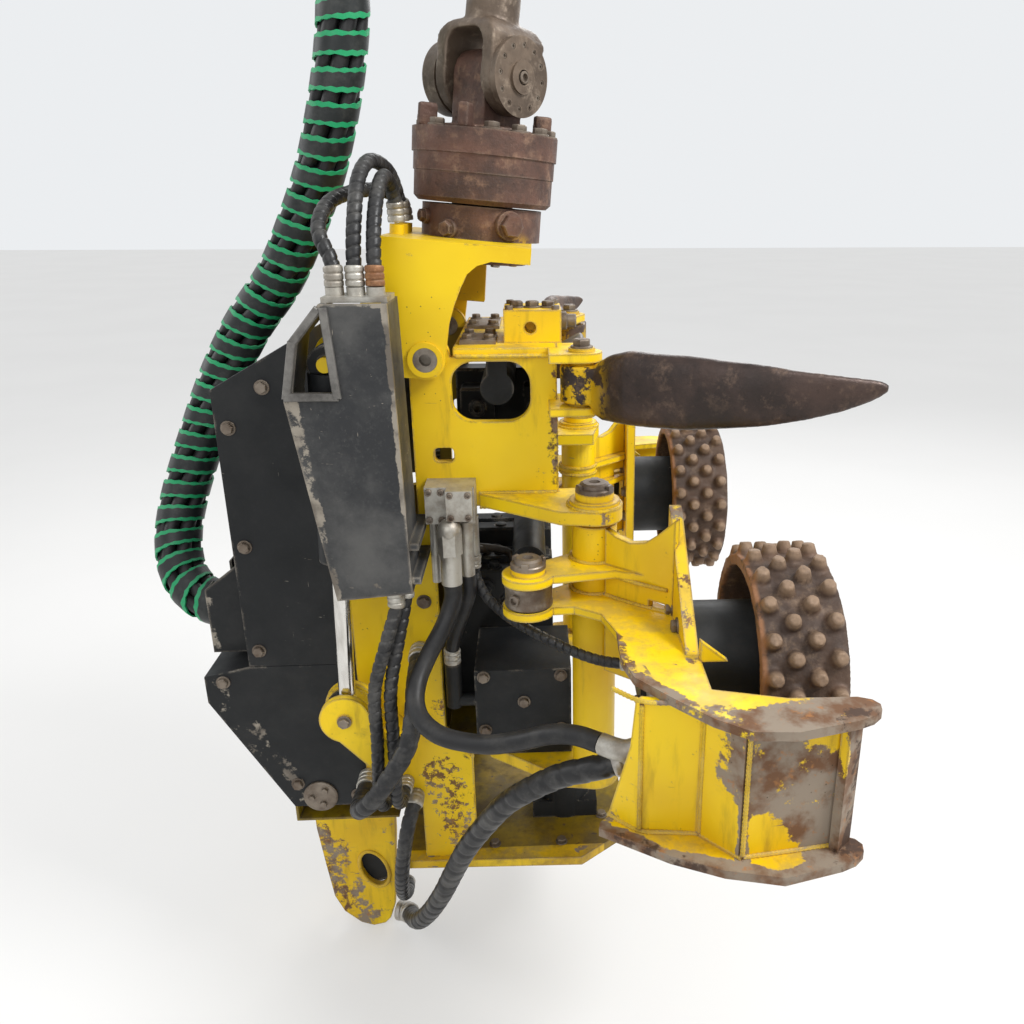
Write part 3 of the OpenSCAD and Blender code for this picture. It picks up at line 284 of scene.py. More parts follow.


# Yellow paint that is worn off along the edges, chipped, pitted and grimy; where asked, darkened between the frame's
# side plates with grease and painted shade
def yellowPaint(name, dirt=0.3, chips=0.3, wear=0.6, patches=(), greaseAndShadeShare=0.0, pitted=(), crust=()):
    s = Shade(name)
    tone = s.mix(s.span(s.noise(3.5, 3), 0.35, 0.7), paintTones["yellow"], paintTones["yellowDeep"])
    tone = s.mix(s.span(s.noise(40, 5, 0.7), 0.5, 0.9, 0, 0.3), tone, paintTones["yellowPale"])
    streak = s.noise(9, 6, 0.62, place=s.place((3.2, 3.2, 0.55)))
    stain = s.times(s.span(streak, 0.62 - 0.25 * dirt, 0.80), min(1, 0.35 + dirt))
    smear = s.times(s.span(s.noise(5, 7, 0.72), 0.64 - 0.2 * dirt, 0.76), min(1, 0.4 + dirt))
    tone = s.mix(s.most(stain, smear), tone, paintTones["stain"])
    dust = s.times(s.span(s.upward(), 0.55, 0.95), s.span(s.noise(12, 6, 0.7), 0.44, 0.62), 0.35 + 0.4 * dirt)
    tone = s.mix(dust, tone, (0.30, 0.22, 0.10))
    pits = s.times(s.span(s.cells(85), 0.13, 0.06), s.span(s.noise(11, 2), 0.55, 0.66))
    flakes = s.span(s.noise(28, 6, 0.74), 0.735 - 0.13 * chips, 0.76 - 0.12 * chips)
    lines = s.noise(26, 3, 0.5, 0.4, place=s.place((1.0, 1.0, 9.0), (0.3, 0.5, 0.2)))
    scratch = s.times(s.span(lines, 0.70 - 0.05 * chips, 0.74 - 0.05 * chips), s.span(s.noise(7, 2), 0.5, 0.62))
    rub = s.times(s.edges(0.006), s.span(s.noise(34, 5, 0.7), 0.62 - 0.42 * wear, 0.72 - 0.35 * wear))
    lost = s.most(flakes, scratch)
    if patches:
        torn = s.calc("ADD", s.noise(22, 7, 0.72), s.worn(patches))
        lost = s.most(lost, s.span(torn, 0.80, 0.86))
    bare = s.most(lost, rub)
    if pitted:
        eaten = s.calc("ADD", s.noise(75, 5, 0.75), s.worn(pitted))
        bare = s.most(bare, s.times(s.span(eaten, 0.80, 0.83), 0.95))
    metal = s.mix(s.span(s.noise(18, 5, 0.6), 0.38, 0.60), paintTones["rust"], paintTones["bare"])
    metal = s.mix(s.span(s.noise(48, 5, 0.7), 0.56, 0.70, 0, 0.75), metal, paintTones["orangeRust"])
    tone = s.mix(bare, tone, metal)
    if crust:
        burnt = s.span(s.calc("ADD", s.noise(30, 6, 0.72), s.worn(crust)), 0.80, 0.90)
        tone = s.mix(s.times(burnt, 0.9), tone, paintTones["darkRust"])
    tone = s.mix(s.times(pits, 0.85), tone, paintTones["grime"])
    # Grease and painted shade: the paint between the frame's side plates goes near black
    if greaseAndShadeShare:
        greaseAndShadeMask = s.times(s.inside(), s.span(s.noise(10, 8, 0.7), 0.22, 0.50, 0.75 * greaseAndShadeShare, greaseAndShadeShare))
        tone = s.mix(greaseAndShadeMask, tone, paintTones["greaseAndShadeTone"])
    rough = s.blend(bare, s.span(streak, 0.3, 0.8, 0.34, 0.62), 0.70)
    sunk = s.calc("SUBTRACT", s.times(s.noise(120, 2), 0.12), s.times(lost, 0.6))
    return s.finish(tone, rough, 0.0, sunk, 0.35, 0.0015, sheen=0.36)


# Black sheet metal: dusty, with light scratches and edges rubbed to bare steel
def blackPaint(name, dust=0.4, scratches=0.4, wear=0.6, patches=(), tones=("black", "blackDust")):
    s = Shade(name)
    cloud = s.times(s.span(s.noise(7, 8, 0.65), 0.40, 0.75), dust)
    tone = s.mix(cloud, paintTones[tones[0]], paintTones[tones[1]])
    tone = s.mix(s.span(s.noise(130, 5, 0.7), 0.5, 0.75, 0, 0.35 * dust), tone, paintTones[tones[1]])
    fine = s.noise(30, 4, 0.5, 0.5, place=s.place((1.2, 1.2, 7.0), (0.5, 0.9, 0.3)))
    cross = s.noise(44, 3, 0.5, 0.6, place=s.place((8.0, 8.0, 1.0), (0.2, 0.6, 0.1)))
    thin = s.most(s.span(fine, 0.71, 0.74), s.span(cross, 0.72, 0.75))
    thin = s.times(thin, s.span(s.noise(6, 2), 0.62 - 0.25 * scratches, 0.72 - 0.2 * scratches))
    dots = s.times(s.span(s.noise(60, 6, 0.7), 0.76, 0.79), scratches)
    rub = s.times(s.edges(0.007), s.span(s.noise(22, 7, 0.7), 0.60 - 0.45 * wear, 0.70 - 0.40 * wear))
    lost = s.most(thin, dots)
    if patches:
        torn = s.calc("ADD", s.noise(20, 7, 0.72), s.worn(patches))
        lost = s.most(lost, s.span(torn, 0.80, 0.87))
    bare = s.most(lost, rub)
    metal = s.mix(s.span(s.noise(15, 5, 0.6), 0.42, 0.6), (0.32, 0.285, 0.235), (0.15, 0.130, 0.108))
    tone = s.mix(bare, tone, metal)
    rough = s.blend(bare, s.span(s.noise(12, 6, 0.6), 0.3, 0.75, 0.42, 0.66), 0.45)
    sunk = s.calc("SUBTRACT", s.times(s.noise(90, 3), 0.2), s.times(s.noise(20, 5, 0.72), 0.15))
    return s.finish(tone, rough, s.times(bare, 0.5), sunk, 0.3, 0.0012, sheen=0.26)


# Cast or forged iron, brown with rust, oily dark patches and rubbed edges; on the feed rollers also knocked stud
# tops, rusty rims, and hollows between the studs darkened to a deeper brown with painted shade
def rustyIron(name, dark, mid, light, oil=0.3, rough=0.6, grain=1.0, metal=0.25, yellow=(), studs=False,
              skinned=False):
    s = Shade(name)
    base = s.mix(s.span(s.noise(9, 6, 0.66), 0.36, 0.64), dark, mid)
    base = s.mix(s.span(s.noise(32, 6, 0.72), 0.50, 0.74), base, light)
    base = s.mix(s.span(s.noise(75, 5, 0.7), 0.60, 0.72, 0, 0.6), base, tuple(0.4 * c for c in dark))
    wet = s.times(s.span(s.noise(5, 5, 0.6), 0.50, 0.64), oil)
    base = s.mix(wet, base, (0.022, 0.015, 0.012))
    edge = s.span(s.add("NewGeometry").outputs["Pointiness"], 0.54, 0.62) if skinned else s.edges(0.005)
    shine = s.times(edge, s.span(s.noise(30, 5, 0.7), 0.40, 0.60))
    base = s.mix(s.times(shine, 0.6), base, (0.30, 0.23, 0.17))
    if studs:
        reach = s.fromRollerAxis()
        knocked = s.span(s.noise(55, 5, 0.7), 0.25, 0.60, 0.45, 1.0)
        base = s.mix(s.times(s.span(reach, *rollerWearAndShade["knocked"]), knocked), base, (0.255, 0.170, 0.108))
        # Darker brown on the roller's base between the studs, with painted shade for these hollows
        hollow = s.times(s.span(reach, *rollerWearAndShade["hollow"]), s.span(reach, *rollerWearAndShade["disc"]))
        base = s.mix(s.times(hollow, 0.45), base, tuple(0.6 * c for c in dark))
        rim = s.span(s.where(0), *[toFrame.x + x for x in rollerWearAndShade["rim"]])
        rim = s.times(rim, s.span(s.noise(26, 7, 0.7), 0.36, 0.50))
        base = s.mix(s.times(rim, 0.9), base, (0.27, 0.125, 0.055))
    for point, radius in yellow:
        left = s.times(s.near(at(*point), radius), s.span(s.noise(24, 8, 0.72), 0.47, 0.52))
        base = s.mix(left, base, paintTones["yellowDeep"])
    gloss = s.blend(wet, s.span(s.noise(22, 6, 0.7), 0.3, 0.7, rough - 0.12, rough + 0.16), 0.30)
    pocks = s.calc("ADD", s.noise(70, 6, 0.7), s.times(s.noise(240, 3), 0.35))
    return s.finish(base, gloss, metal, pocks, 0.5 * grain, 0.003)


def wornSteel(name, tone=(0.30, 0.265, 0.22), stain=(0.13, 0.095, 0.07), metal=0.75, rough=0.42):
    s = Shade(name)
    base = s.mix(s.span(s.noise(14, 8, 0.68), 0.38, 0.68), tone, stain)
    base = s.mix(s.span(s.noise(60, 6, 0.7), 0.62, 0.78, 0, 0.7), base, (0.20, 0.10, 0.05))
    grain = s.calc("ADD", s.noise(130, 6, 0.7), s.times(s.noise(30, 4), 0.5))
    gloss = s.span(s.noise(20, 6, 0.7), 0.3, 0.7, rough - 0.08, rough + 0.2)
    return s.finish(base, gloss, metal, grain, 0.35, 0.0012)


def chromeRod(name):
    s = Shade(name)
    film = s.noise(18, 6, 0.7, place=s.place((1, 1, 0.2)))
    base = s.mix(s.span(film, 0.45, 0.7), (0.72, 0.70, 0.66), (0.42, 0.39, 0.35))
    return s.finish(base, s.span(s.noise(40, 5), 0.3, 0.7, 0.10, 0.30), 1.0, s.noise(200, 3), 0.06, 0.0004)


# Hose rubber or spiral wrap: near black, dusty where it is rubbed
def hoseRubber(name, tone=(0.012, 0.012, 0.013), dust=(0.070, 0.066, 0.060), share=0.38, rough=0.46):
    s = Shade(name)
    film = s.calc("ADD", s.span(s.noise(26, 8, 0.7), 0.42, 0.74), s.span(s.upward(), 0.2, 1.0, 0, 0.35))
    base = s.mix(s.times(film, share), tone, dust)
    gloss = s.span(s.noise(16, 5), 0.3, 0.7, rough - 0.10, rough + 0.12)
    return s.finish(base, gloss, 0.0, s.noise(160, 4), 0.18, 0.0008, sheen=0.34)


# Dark, middle and light tone of each iron
brown = ((0.050, 0.032, 0.024), (0.105, 0.062, 0.042), (0.21, 0.13, 0.085))
redBrown = ((0.060, 0.034, 0.026), (0.135, 0.066, 0.045), (0.24, 0.14, 0.09))
darkBrown = ((0.030, 0.020, 0.017), (0.062, 0.038, 0.030), (0.14, 0.090, 0.062))
paleBrown = ((0.085, 0.060, 0.042), (0.165, 0.120, 0.085), (0.30, 0.235, 0.175))
studBrown = ((0.060, 0.036, 0.025), (0.135, 0.078, 0.048), (0.27, 0.18, 0.115))
orangeBrown = ((0.16, 0.07, 0.03), (0.28, 0.12, 0.045), (0.40, 0.20, 0.09))

paint = {
    "tilt": yellowPaint("yellowTilt", 0.05, 0.10, 0.15),
    # the frame: its paint between the side plates is darkened with grease and painted shade
    "frame": yellowPaint("yellowFrame", 0.26, 0.28, 0.60, [
        ((-60, -210, 1345), (-60, -210, 1110), 0.022, 0.34), ((-60, -200, 1160), 0.10, 0.20),
        ((-290, -212, 860), (-290, -212, 640), 0.05, 0.22), ((-300, -212, 470), 0.16, 0.10),
        ((-190, -60, 1366), 0.12, 0.26)],
        greaseAndShadeShare=0.93, pitted=[((-300, -210, 520), (-262, -210, 370), 0.075, 0.30)],
        crust=[((-62, -205, 1280), (-62, -205, 1130), 0.030, 0.30),
               ((-240, -205, 600), (-240, -205, 330), 0.030, 0.24)]),
    "lugs": yellowPaint("yellowLugs", 0.32, 0.38, 0.85, [
        ((0, -328, 1109), 0.07, 0.16), ((10, -284, 1365), 0.08, 0.24), ((14, -160, 1360), 0.12, 0.27),
        ((-60, -318, 1100), (30, -320, 1100), 0.03, 0.20)]),
    "arm": yellowPaint("yellowArm", 0.25, 0.42, 0.85, [
        ((210, -735, 957), (345, -705, 957), 0.085, 0.50), ((120, -705, 957), (210, -740, 957), 0.055, 0.42),
        ((40, -600, 950), (125, -712, 950), 0.030, 0.45), ((22, -470, 950), (36, -600, 950), 0.022, 0.36),
        ((60, -560, 957), (200, -640, 957), 0.11, 0.17), ((20, -440, 957), 0.09, 0.14),
        ((130, -345, 1124), (130, -600, 917), 0.03, 0.30), ((-115, -390, 1000), 0.05, 0.2)], crust=[
        ((300, -735, 950), (360, -700, 950), 0.05, 0.30), ((40, -605, 945), (120, -712, 945), 0.018, 0.26)]),
    "channel": yellowPaint("yellowChannel", 0.38, 0.48, 0.85, [
        ((205, -705, 870), (320, -690, 800), 0.115, 0.44), ((250, -700, 860), (300, -695, 760), 0.10, 0.40),
        ((345, -690, 930), (345, -690, 725), 0.05, 0.60), ((181, -712, 935), (181, -712, 725), 0.020, 0.50),
        ((-13, -634, 712), (81, -698, 712), 0.032, 0.55), ((81, -698, 712), (233, -748, 712), 0.030, 0.55),
        ((233, -748, 712), (345, -715, 712), 0.034, 0.60), ((10, -612, 830), (14, -615, 740), 0.055, 0.24),
        ((100, -650, 800), (130, -655, 900), 0.05, 0.18)], crust=[
        ((345, -690, 930), (345, -690, 725), 0.035, 0.34), ((0, -640, 712), (120, -715, 712), 0.026, 0.34),
        ((181, -712, 935), (181, -712, 725), 0.012, 0.30), ((330, -720, 712), 0.05, 0.30)]),
    # shelf and saw box: grimy paint, darkened between the side plates with grease and painted shade
    "grimeAndShade": yellowPaint("yellowGrimeAndShade", 0.75, 0.75, 0.95, [((-60, -300, 572), (30, -290, 572), 0.05, 0.2)],
                         greaseAndShadeShare=0.70),
    "horn": yellowPaint("yellowHorn", 0.60, 0.60, 0.95, [
        ((-590, -60, 260), (-540, -60, 20), 0.085, 0.30), ((-540, -60, 10), (-450, -60, 15), 0.07, 0.30),
        ((-440, -60, 300), 0.12, 0.18)], crust=[
        ((-585, -60, 230), (-560, -60, 60), 0.045, 0.22), ((-480, -60, 165), 0.075, 0.26),
        ((-520, -60, 350), 0.05, 0.24)]),
    "cover": blackPaint("blackCover", 0.30, 0.40, 0.25, [
        ((-705, -196, 720), (-600, -196, 480), 0.060, 0.24),
        ((-660, -196, 640), (-560, -196, 470), 0.030, 0.30)]),
    "guard": blackPaint("blackGuard", 0.75, 0.85, 0.95, [
        ((-470, -360, 1310), (-432, -360, 985), 0.022, 0.36), ((-440, -360, 1000), (-330, -360, 985), 0.026, 0.24),
        ((-314, -360, 1450), (-306, -360, 1130), 0.016, 0.42), ((-306, -360, 1130), (-306, -360, 990), 0.012, 0.30),
        ((-414, -360, 1455), (-314, -360, 1455), 0.012, 0.34), ((-440, -360, 1180), 0.12, 0.12),
        ((-440, -360, 1010), 0.06, 0.24)],
        ("greyBlack", "greyDust")),
    "bracket": blackPaint("blackBracket", 0.45, 0.5, 0.9, [((-727, -150, 880), (-727, -150, 790), 0.03, 0.3)]),
    "inner": blackPaint("blackInner", 0.45, 0.15, 0.25),
    "rotator": rustyIron("rotatorIron", *redBrown, 0.25),
    "rotatorBody": rustyIron("rotatorBodyIron", *redBrown, 0.35, 0.55, yellow=[((-110, -90, 1500), 0.05)]),
    "knife": rustyIron("forgedKnife", *darkBrown, 0.65, 0.42, 0.7, 0.45,
                       yellow=[((-20, -255, 1310), 0.095)], skinned=True),
    "farKnife": rustyIron("forgedFarKnife", *brown, 0.3, 0.5, 0.7, 0.3,
                          yellow=[((-20, 250, 1300), 0.07)], skinned=True),
    "roller": rustyIron("rollerIron", *studBrown, 0.15, 0.66, studs=True, skinned=True),
    "link": rustyIron("linkIron", *paleBrown, 0.15, 0.48, 0.6, 0.4),
    "steel": wornSteel("wornSteel"),
    "oilySteel": wornSteel("oilySteel", (0.10, 0.085, 0.07), (0.035, 0.026, 0.02), 0.6, 0.36),
    "trim": wornSteel("trimSteel", (0.20, 0.19, 0.175), (0.060, 0.056, 0.052), 0.45, 0.46),
    "bolt": wornSteel("boltSteel", (0.24, 0.20, 0.16), (0.10, 0.07, 0.05), 0.6, 0.46),
    "silver": wornSteel("silverClamp", (0.52, 0.50, 0.46), (0.26, 0.23, 0.20), 0.85, 0.34),
    "zinc": wornSteel("zincFitting", (0.50, 0.48, 0.43), (0.27, 0.24, 0.20), 0.7, 0.40),
    "rustNut": rustyIron("rustNut", *orangeBrown, 0.1),
    "chrome": chromeRod("chromeRod"),
    "hose": hoseRubber("hoseRubber"),
    "hoseWrap": hoseRubber("spiralWrap", (0.014, 0.014, 0.015), (0.110, 0.105, 0.096), 0.55, 0.42),
    "strip": hoseRubber("bundleStrip", (0.013, 0.016, 0.016), (0.072, 0.074, 0.068), 0.5, 0.42),
    "stripEdge": hoseRubber("greenStripEdge", (0.012, 0.30, 0.115), (0.10, 0.34, 0.20), 0.4, 0.5),
}

finishOf = {
    "tilt": ["tilt_top_plate", "tilt_side_near", "tilt_side_far", "tilt_back_plate"],
    "frame": ["frame_side_near", "frame_side_far", "frame_top_plate", "frame_cross_plates", "valve_block"],
    "lugs": ["arm_lugs", "knife_lugs", "rod_lugs"],
    "arm": ["feed_arm_near", "feed_arm_far"],
    "channel": ["arm_channel_near", "arm_channel_far"],
    "grimeAndShade": ["frame_shelf", "saw_box_plate", "saw_box_rail"],
    "horn": ["saw_horn"],
    "cover": ["rear_cover", "rear_lower_cover"],
    "guard": ["guard_near", "guard_far"],
    "bracket": ["hose_bracket"],
    "inner": ["saw_motor", "tilt_barrel_near", "tilt_barrel_far", "feed_motor_near", "feed_motor_far",
              "feed_barrel", "inner_valve_box", "inner_knife_cylinder"],
    "rotator": ["rotator_housing", "rotator_flanges"],
    "rotatorBody": ["rotator_body"],
    "knife": ["knife_near", "fixed_knife"],
    "farKnife": ["knife_far"],
    "roller": ["feed_roller_near", "feed_roller_far", "roller_studs_near", "roller_studs_far"],
    "link": ["link_yoke", "link_brake_covers", "link_swing_pin"],
    "steel": ["tilt_pins", "saw_bar"],
    "chrome": ["tilt_rod_near", "tilt_rod_far", "feed_rod"],
    "zinc": ["hydraulic_block", "fitting_bundle_coupler", "fitting_guard_top", "fitting_arm_near"],
}


def setMaterial(piece, *materials):
    piece.data.materials.clear()
    for material in materials:
        piece.data.materials.append(material)


for finish, names in finishOf.items():
    for name in names:
        setMaterial(nodes[name], paint[finish])
print("finishes set")


# A mesh object from points and faces, smooth where faces meet at less than the angle
def makeMesh(name, points, faces, material, slots=None, smoothTo=40):
    data = bpy.data.meshes.new(name)
    data.from_pydata([tuple(p) for p in points], [], faces)
    piece = bpy.data.objects.new(name, data)
    bpy.context.scene.collection.objects.link(piece)
    setMaterial(piece, *(material if isinstance(material, list) else [material]))
    if slots:
        data.polygons.foreach_set("material_index", slots)
    data.shade_smooth()
    if smoothTo < 180:
        data.set_sharp_from_angle(angle=math.radians(smoothTo))
    data.update()
    return piece


# Faces between rings of points, with both ends closed
def ringFaces(rings, sides, first=0):
    faces = []
    for i in range(rings - 1):
        a, b = first + i * sides, first + (i + 1) * sides
        for j in range(sides):
            after = (j + 1) % sides
            faces.append((a + j, a + after, b + after, b + j))
    last = first + (rings - 1) * sides
    faces.append(tuple(first + j for j in reversed(range(sides))))
    faces.append(tuple(last + j for j in range(sides)))
    return faces


def faceOutward(mesh):
    turned = bmesh.new()
    turned.from_mesh(mesh)
    bmesh.ops.recalc_face_normals(turned, faces=turned.faces)
    turned.to_mesh(mesh)
    turned.free()


def applyModifiers(piece):
    done = bpy.data.meshes.new_from_object(piece.evaluated_get(bpy.context.evaluated_depsgraph_get()))
    piece.modifiers.clear()
    piece.data = done
    return done


# Smooth curve through a route, the same one as in the part
def curvePoint(p, u):
    i = min(int(u), len(p) - 2)
    t = u - i
    a, b, c, d = p[max(i - 1, 0)], p[i], p[i + 1], p[min(i + 2, len(p) - 1)]
    return 0.5 * (2 * b + (c - a) * t + (2 * a - 5 * b + 4 * c - d) * t * t + (3 * b - a - 3 * c + d) * t ** 3)


# Points along a route at even steps, and the distance of each from its start
def evenLine(route, step, finer=24):
    points = [at(*p) for p in route]
    dense = [curvePoint(points, k / finer) for k in range(finer * (len(points) - 1) + 1)]
    gone = [0.0]
    for a, b in zip(dense, dense[1:]):
        gone.append(gone[-1] + (b - a).length)
    count = max(8, round(gone[-1] / step))
    line, k = [], 0
    for i in range(count + 1):
        goal = gone[-1] * i / count
        while k < len(dense) - 2 and gone[k + 1] < goal:
            k += 1
        share = (goal - gone[k]) / max(gone[k + 1] - gone[k], 1e-9)
        line.append(dense[k].lerp(dense[k + 1], min(share, 1.0)))
    return line, [gone[-1] * i / count for i in range(count + 1)]


# Two directions across the line at each of its points, turning as little as they can
def acrossLine(line):
    found, side = [], Vector((0, 1, 0))
    for i in range(len(line)):
        way = (line[min(i + 1, len(line) - 1)] - line[max(i - 1, 0)]).normalized()
        side = side - way * side.dot(way)
        side.normalize()
        found.append((side, way.cross(side)))
    return found


# Tubes along lines, gathered into one mesh: radiusAt(distance, turn) takes a turn from 0 to 1
class Tubes:
    def __init__(self):
        self.points, self.faces = [], []

    def add(self, line, gone, radiusAt, sides, shift=None):
        across = acrossLine(line)
        self.faces += ringFaces(len(line), sides, len(self.points))
        for i, centre in enumerate(line):
            side, up = across[i]
            if shift:
                outward, turned = shift(gone[i])
                centre = centre + (side * math.cos(turned) + up * math.sin(turned)) * outward
            for j in range(sides):
                angle = math.tau * j / sides
                reach = radiusAt(gone[i], j / sides)
                self.points.append(centre + (side * math.cos(angle) + up * math.sin(angle)) * reach)

    def make(self, name, finish, smoothTo=40):
        return makeMesh(name, self.points, self.faces, paint[finish], smoothTo=smoothTo)


hoses = {
    "bundle": {
        "route": [(-407, 0, 1990), (-407, 0, 1930), (-411, 1, 1880), (-427, 5, 1800), (-452, 15, 1716),
                  (-480, 32, 1645), (-522, 52, 1562), (-580, 70, 1462), (-662, 85, 1361), (-729, 95, 1252),
                  (-779, 88, 1142), (-818, 62, 1035), (-832, 28, 955), (-820, -10, 893), (-783, -42, 853),
                  (-730, -60, 834), (-690, -60, 834), (-648.5, -60, 834)],
        "diameter": 0.084, "node": "hose_bundle", "bend": ("tilt_frame", "head", (-400, 0, 1950), (-800, 60, 1350)),
        "strand": 0.028, "around": 6, "twist": 1.3,
        "wrap": {"width": 0.036, "pitch": 0.054, "edge": 0.007, "thick": 0.0032, "bare": (0.045, 0.03),
                 "steps": 30},
    },
    "guardTopNear": {
        "route": [(-325, -125, 1564), (-326, -128, 1600), (-329, -150, 1626), (-332, -190, 1634), (-335, -236, 1612),
                  (-337, -276, 1570), (-337, -304, 1518), (-337, -308, 1476)],
        "diameter": 0.024, "node": "hose_guard_top", "pitch": 0.017,
        "bend": ("tilt_frame", "head", (-326, -110, 1600), (-345, -308, 1500)),
    },
    "guardTopMiddle": {
        "route": [(-325, -70, 1564), (-327, -72, 1604), (-336, -108, 1645), (-353, -176, 1658), (-363, -238, 1629),
                  (-366, -283, 1568), (-367, -305, 1516), (-367, -308, 1476)],
        "diameter": 0.024, "node": "hose_guard_top", "pitch": 0.017,
        "bend": ("tilt_frame", "head", (-326, -80, 1600), (-367, -308, 1500)),
    },
    "guardTopFar": {
        "route": [(-325, -15, 1564), (-330, -20, 1594), (-352, -70, 1614), (-386, -150, 1612), (-414, -228, 1594),
                  (-420, -284, 1556), (-400, -307, 1512), (-399, -308, 1476)],
        "diameter": 0.024, "node": "hose_guard_top", "pitch": 0.017,
        "bend": ("tilt_frame", "head", (-328, -30, 1600), (-399, -308, 1500)),
    },
    "guardFootNear": {
        "route": [(-339, -338, 982.2), (-339, -339, 950), (-358, -353, 890), (-384, -354, 800), (-387, -356, 700),
                  (-392, -352, 610), (-397, -325, 545), (-397, -285, 512), (-397, -250, 506), (-397, -210.5, 506)],
        "diameter": 0.024, "node": "hose_guard_foot", "pitch": 0.020,
    },
    "guardFootFar": {
        "route": [(-328, -300, 982.2), (-328, -302, 950), (-340, -325, 890), (-357, -352, 800), (-359, -356, 700),
                  (-362, -352, 610), (-366, -325, 549), (-367, -285, 516), (-367, -250, 510), (-367, -210.5, 510)],
        "diameter": 0.024, "node": "hose_guard_foot", "pitch": 0.020,
    },
    "armFeed": {
        "route": [(-249, -280, 966.5), (-249, -280, 938), (-265, -297, 895), (-291, -324, 853), (-308, -354, 821),
                  (-311, -386, 796), (-298, -414, 777), (-268, -438, 764), (-226, -458, 762), (-178, -480, 770),
                  (-129, -502, 791), (-84, -524, 815), (-46, -548, 828), (-10, -574, 830)],
        "diameter": 0.032, "node": "hose_arm_near",
        "bend": ("head", "feed_arm_near", (-249, -290, 900), (-20, -565, 830)),
    },
    "armLight": {
        "route": [(-212, -228, 999), (-212, -230, 966), (-194, -256, 932), (-156, -298, 911), (-116, -328, 897),
                  (-80, -346, 884), (-43, -366, 874), (-4, -396, 873), (30, -430, 884), (59.5, -430, 884)],
        "diameter": 0.019, "node": "hose_arm_near", "pitch": 0.015,
        "bend": ("head", "feed_arm_near", (-212, -240, 960), (10, -410, 875)),
    },
    "armSaw": {
        "route": [(52, -556, 800), (20, -562, 788), (-22, -556, 772), (-66, -532, 745), (-112, -500, 700),
                  (-158, -460, 640), (-198, -420, 566), (-238, -380, 482), (-269, -340, 395), (-300, -292, 300),
                  (-335, -237, 205), (-366, -182, 130), (-388, -128, 78), (-402, -88, 48), (-416, -62, 37),
                  (-440, -52.5, 35)],
        "diameter": 0.040, "node": "hose_arm_near", "pitch": 0.036,
        "bend": ("head", "feed_arm_near", (-366, -182, 130), (30, -560, 790)),
    },
    "block": {
        "route": [(-222, -256, 971.5), (-222, -256, 940), (-236, -248, 895), (-252, -236, 850), (-261, -227, 812),
                  (-262, -226, 780.5)],
        "diameter": 0.026, "node": "hose_frame_low",
    },
    "cross": {
        "route": [(-322, -210.5, 800), (-322, -245, 800), (-320, -318, 790), (-318, -372, 762), (-328, -396, 715),
                  (-358, -402, 662), (-394, -396, 608), (-428, -362, 560), (-440, -304, 532), (-440, -250, 524),
                  (-440, -210.5, 524)],
        "diameter": 0.034, "node": "hose_frame_low", "pitch": 0.028,
    },
    "tail": {
        "route": [(-352, -210.5, 474), (-352, -240, 474), (-362, -266, 444), (-374, -266, 384), (-386, -244, 310),
                  (-396, -204, 236), (-402, -158, 180), (-404, -110, 142), (-410, -68, 126), (-431, -52.5, 121)],
        "diameter": 0.030, "node": "hose_frame_low", "pitch": 0.024,
    },
}


# Spiral wrap: a flat strip wound round, with a narrow groove between its turns
groove = {"share": 0.13, "deep": 0.0022, "lean": 0.0008}


def wrapRadius(half, pitch):
    def radiusAt(gone, turn):
        phase = (gone / pitch - turn) % 1.0
        dip = min(phase, 1 - phase) / groove["share"]
        return half - groove["deep"] * max(0.0, 1 - dip) ** 0.7 - groove["lean"] * phase
    return radiusAt


def makeHose(name, spec):
    half = spec["diameter"] / 2
    wrapped = "pitch" in spec
    line, gone = evenLine(spec["route"], spec["pitch"] / 8 if wrapped else 0.008)
    radiusAt = wrapRadius(half, spec["pitch"]) if wrapped else lambda gone, turn: half
    tube = Tubes()
    tube.add(line, gone, radiusAt, 18)
    return tube.make(name + "Hose", "hoseWrap" if wrapped else "hose"), line, gone


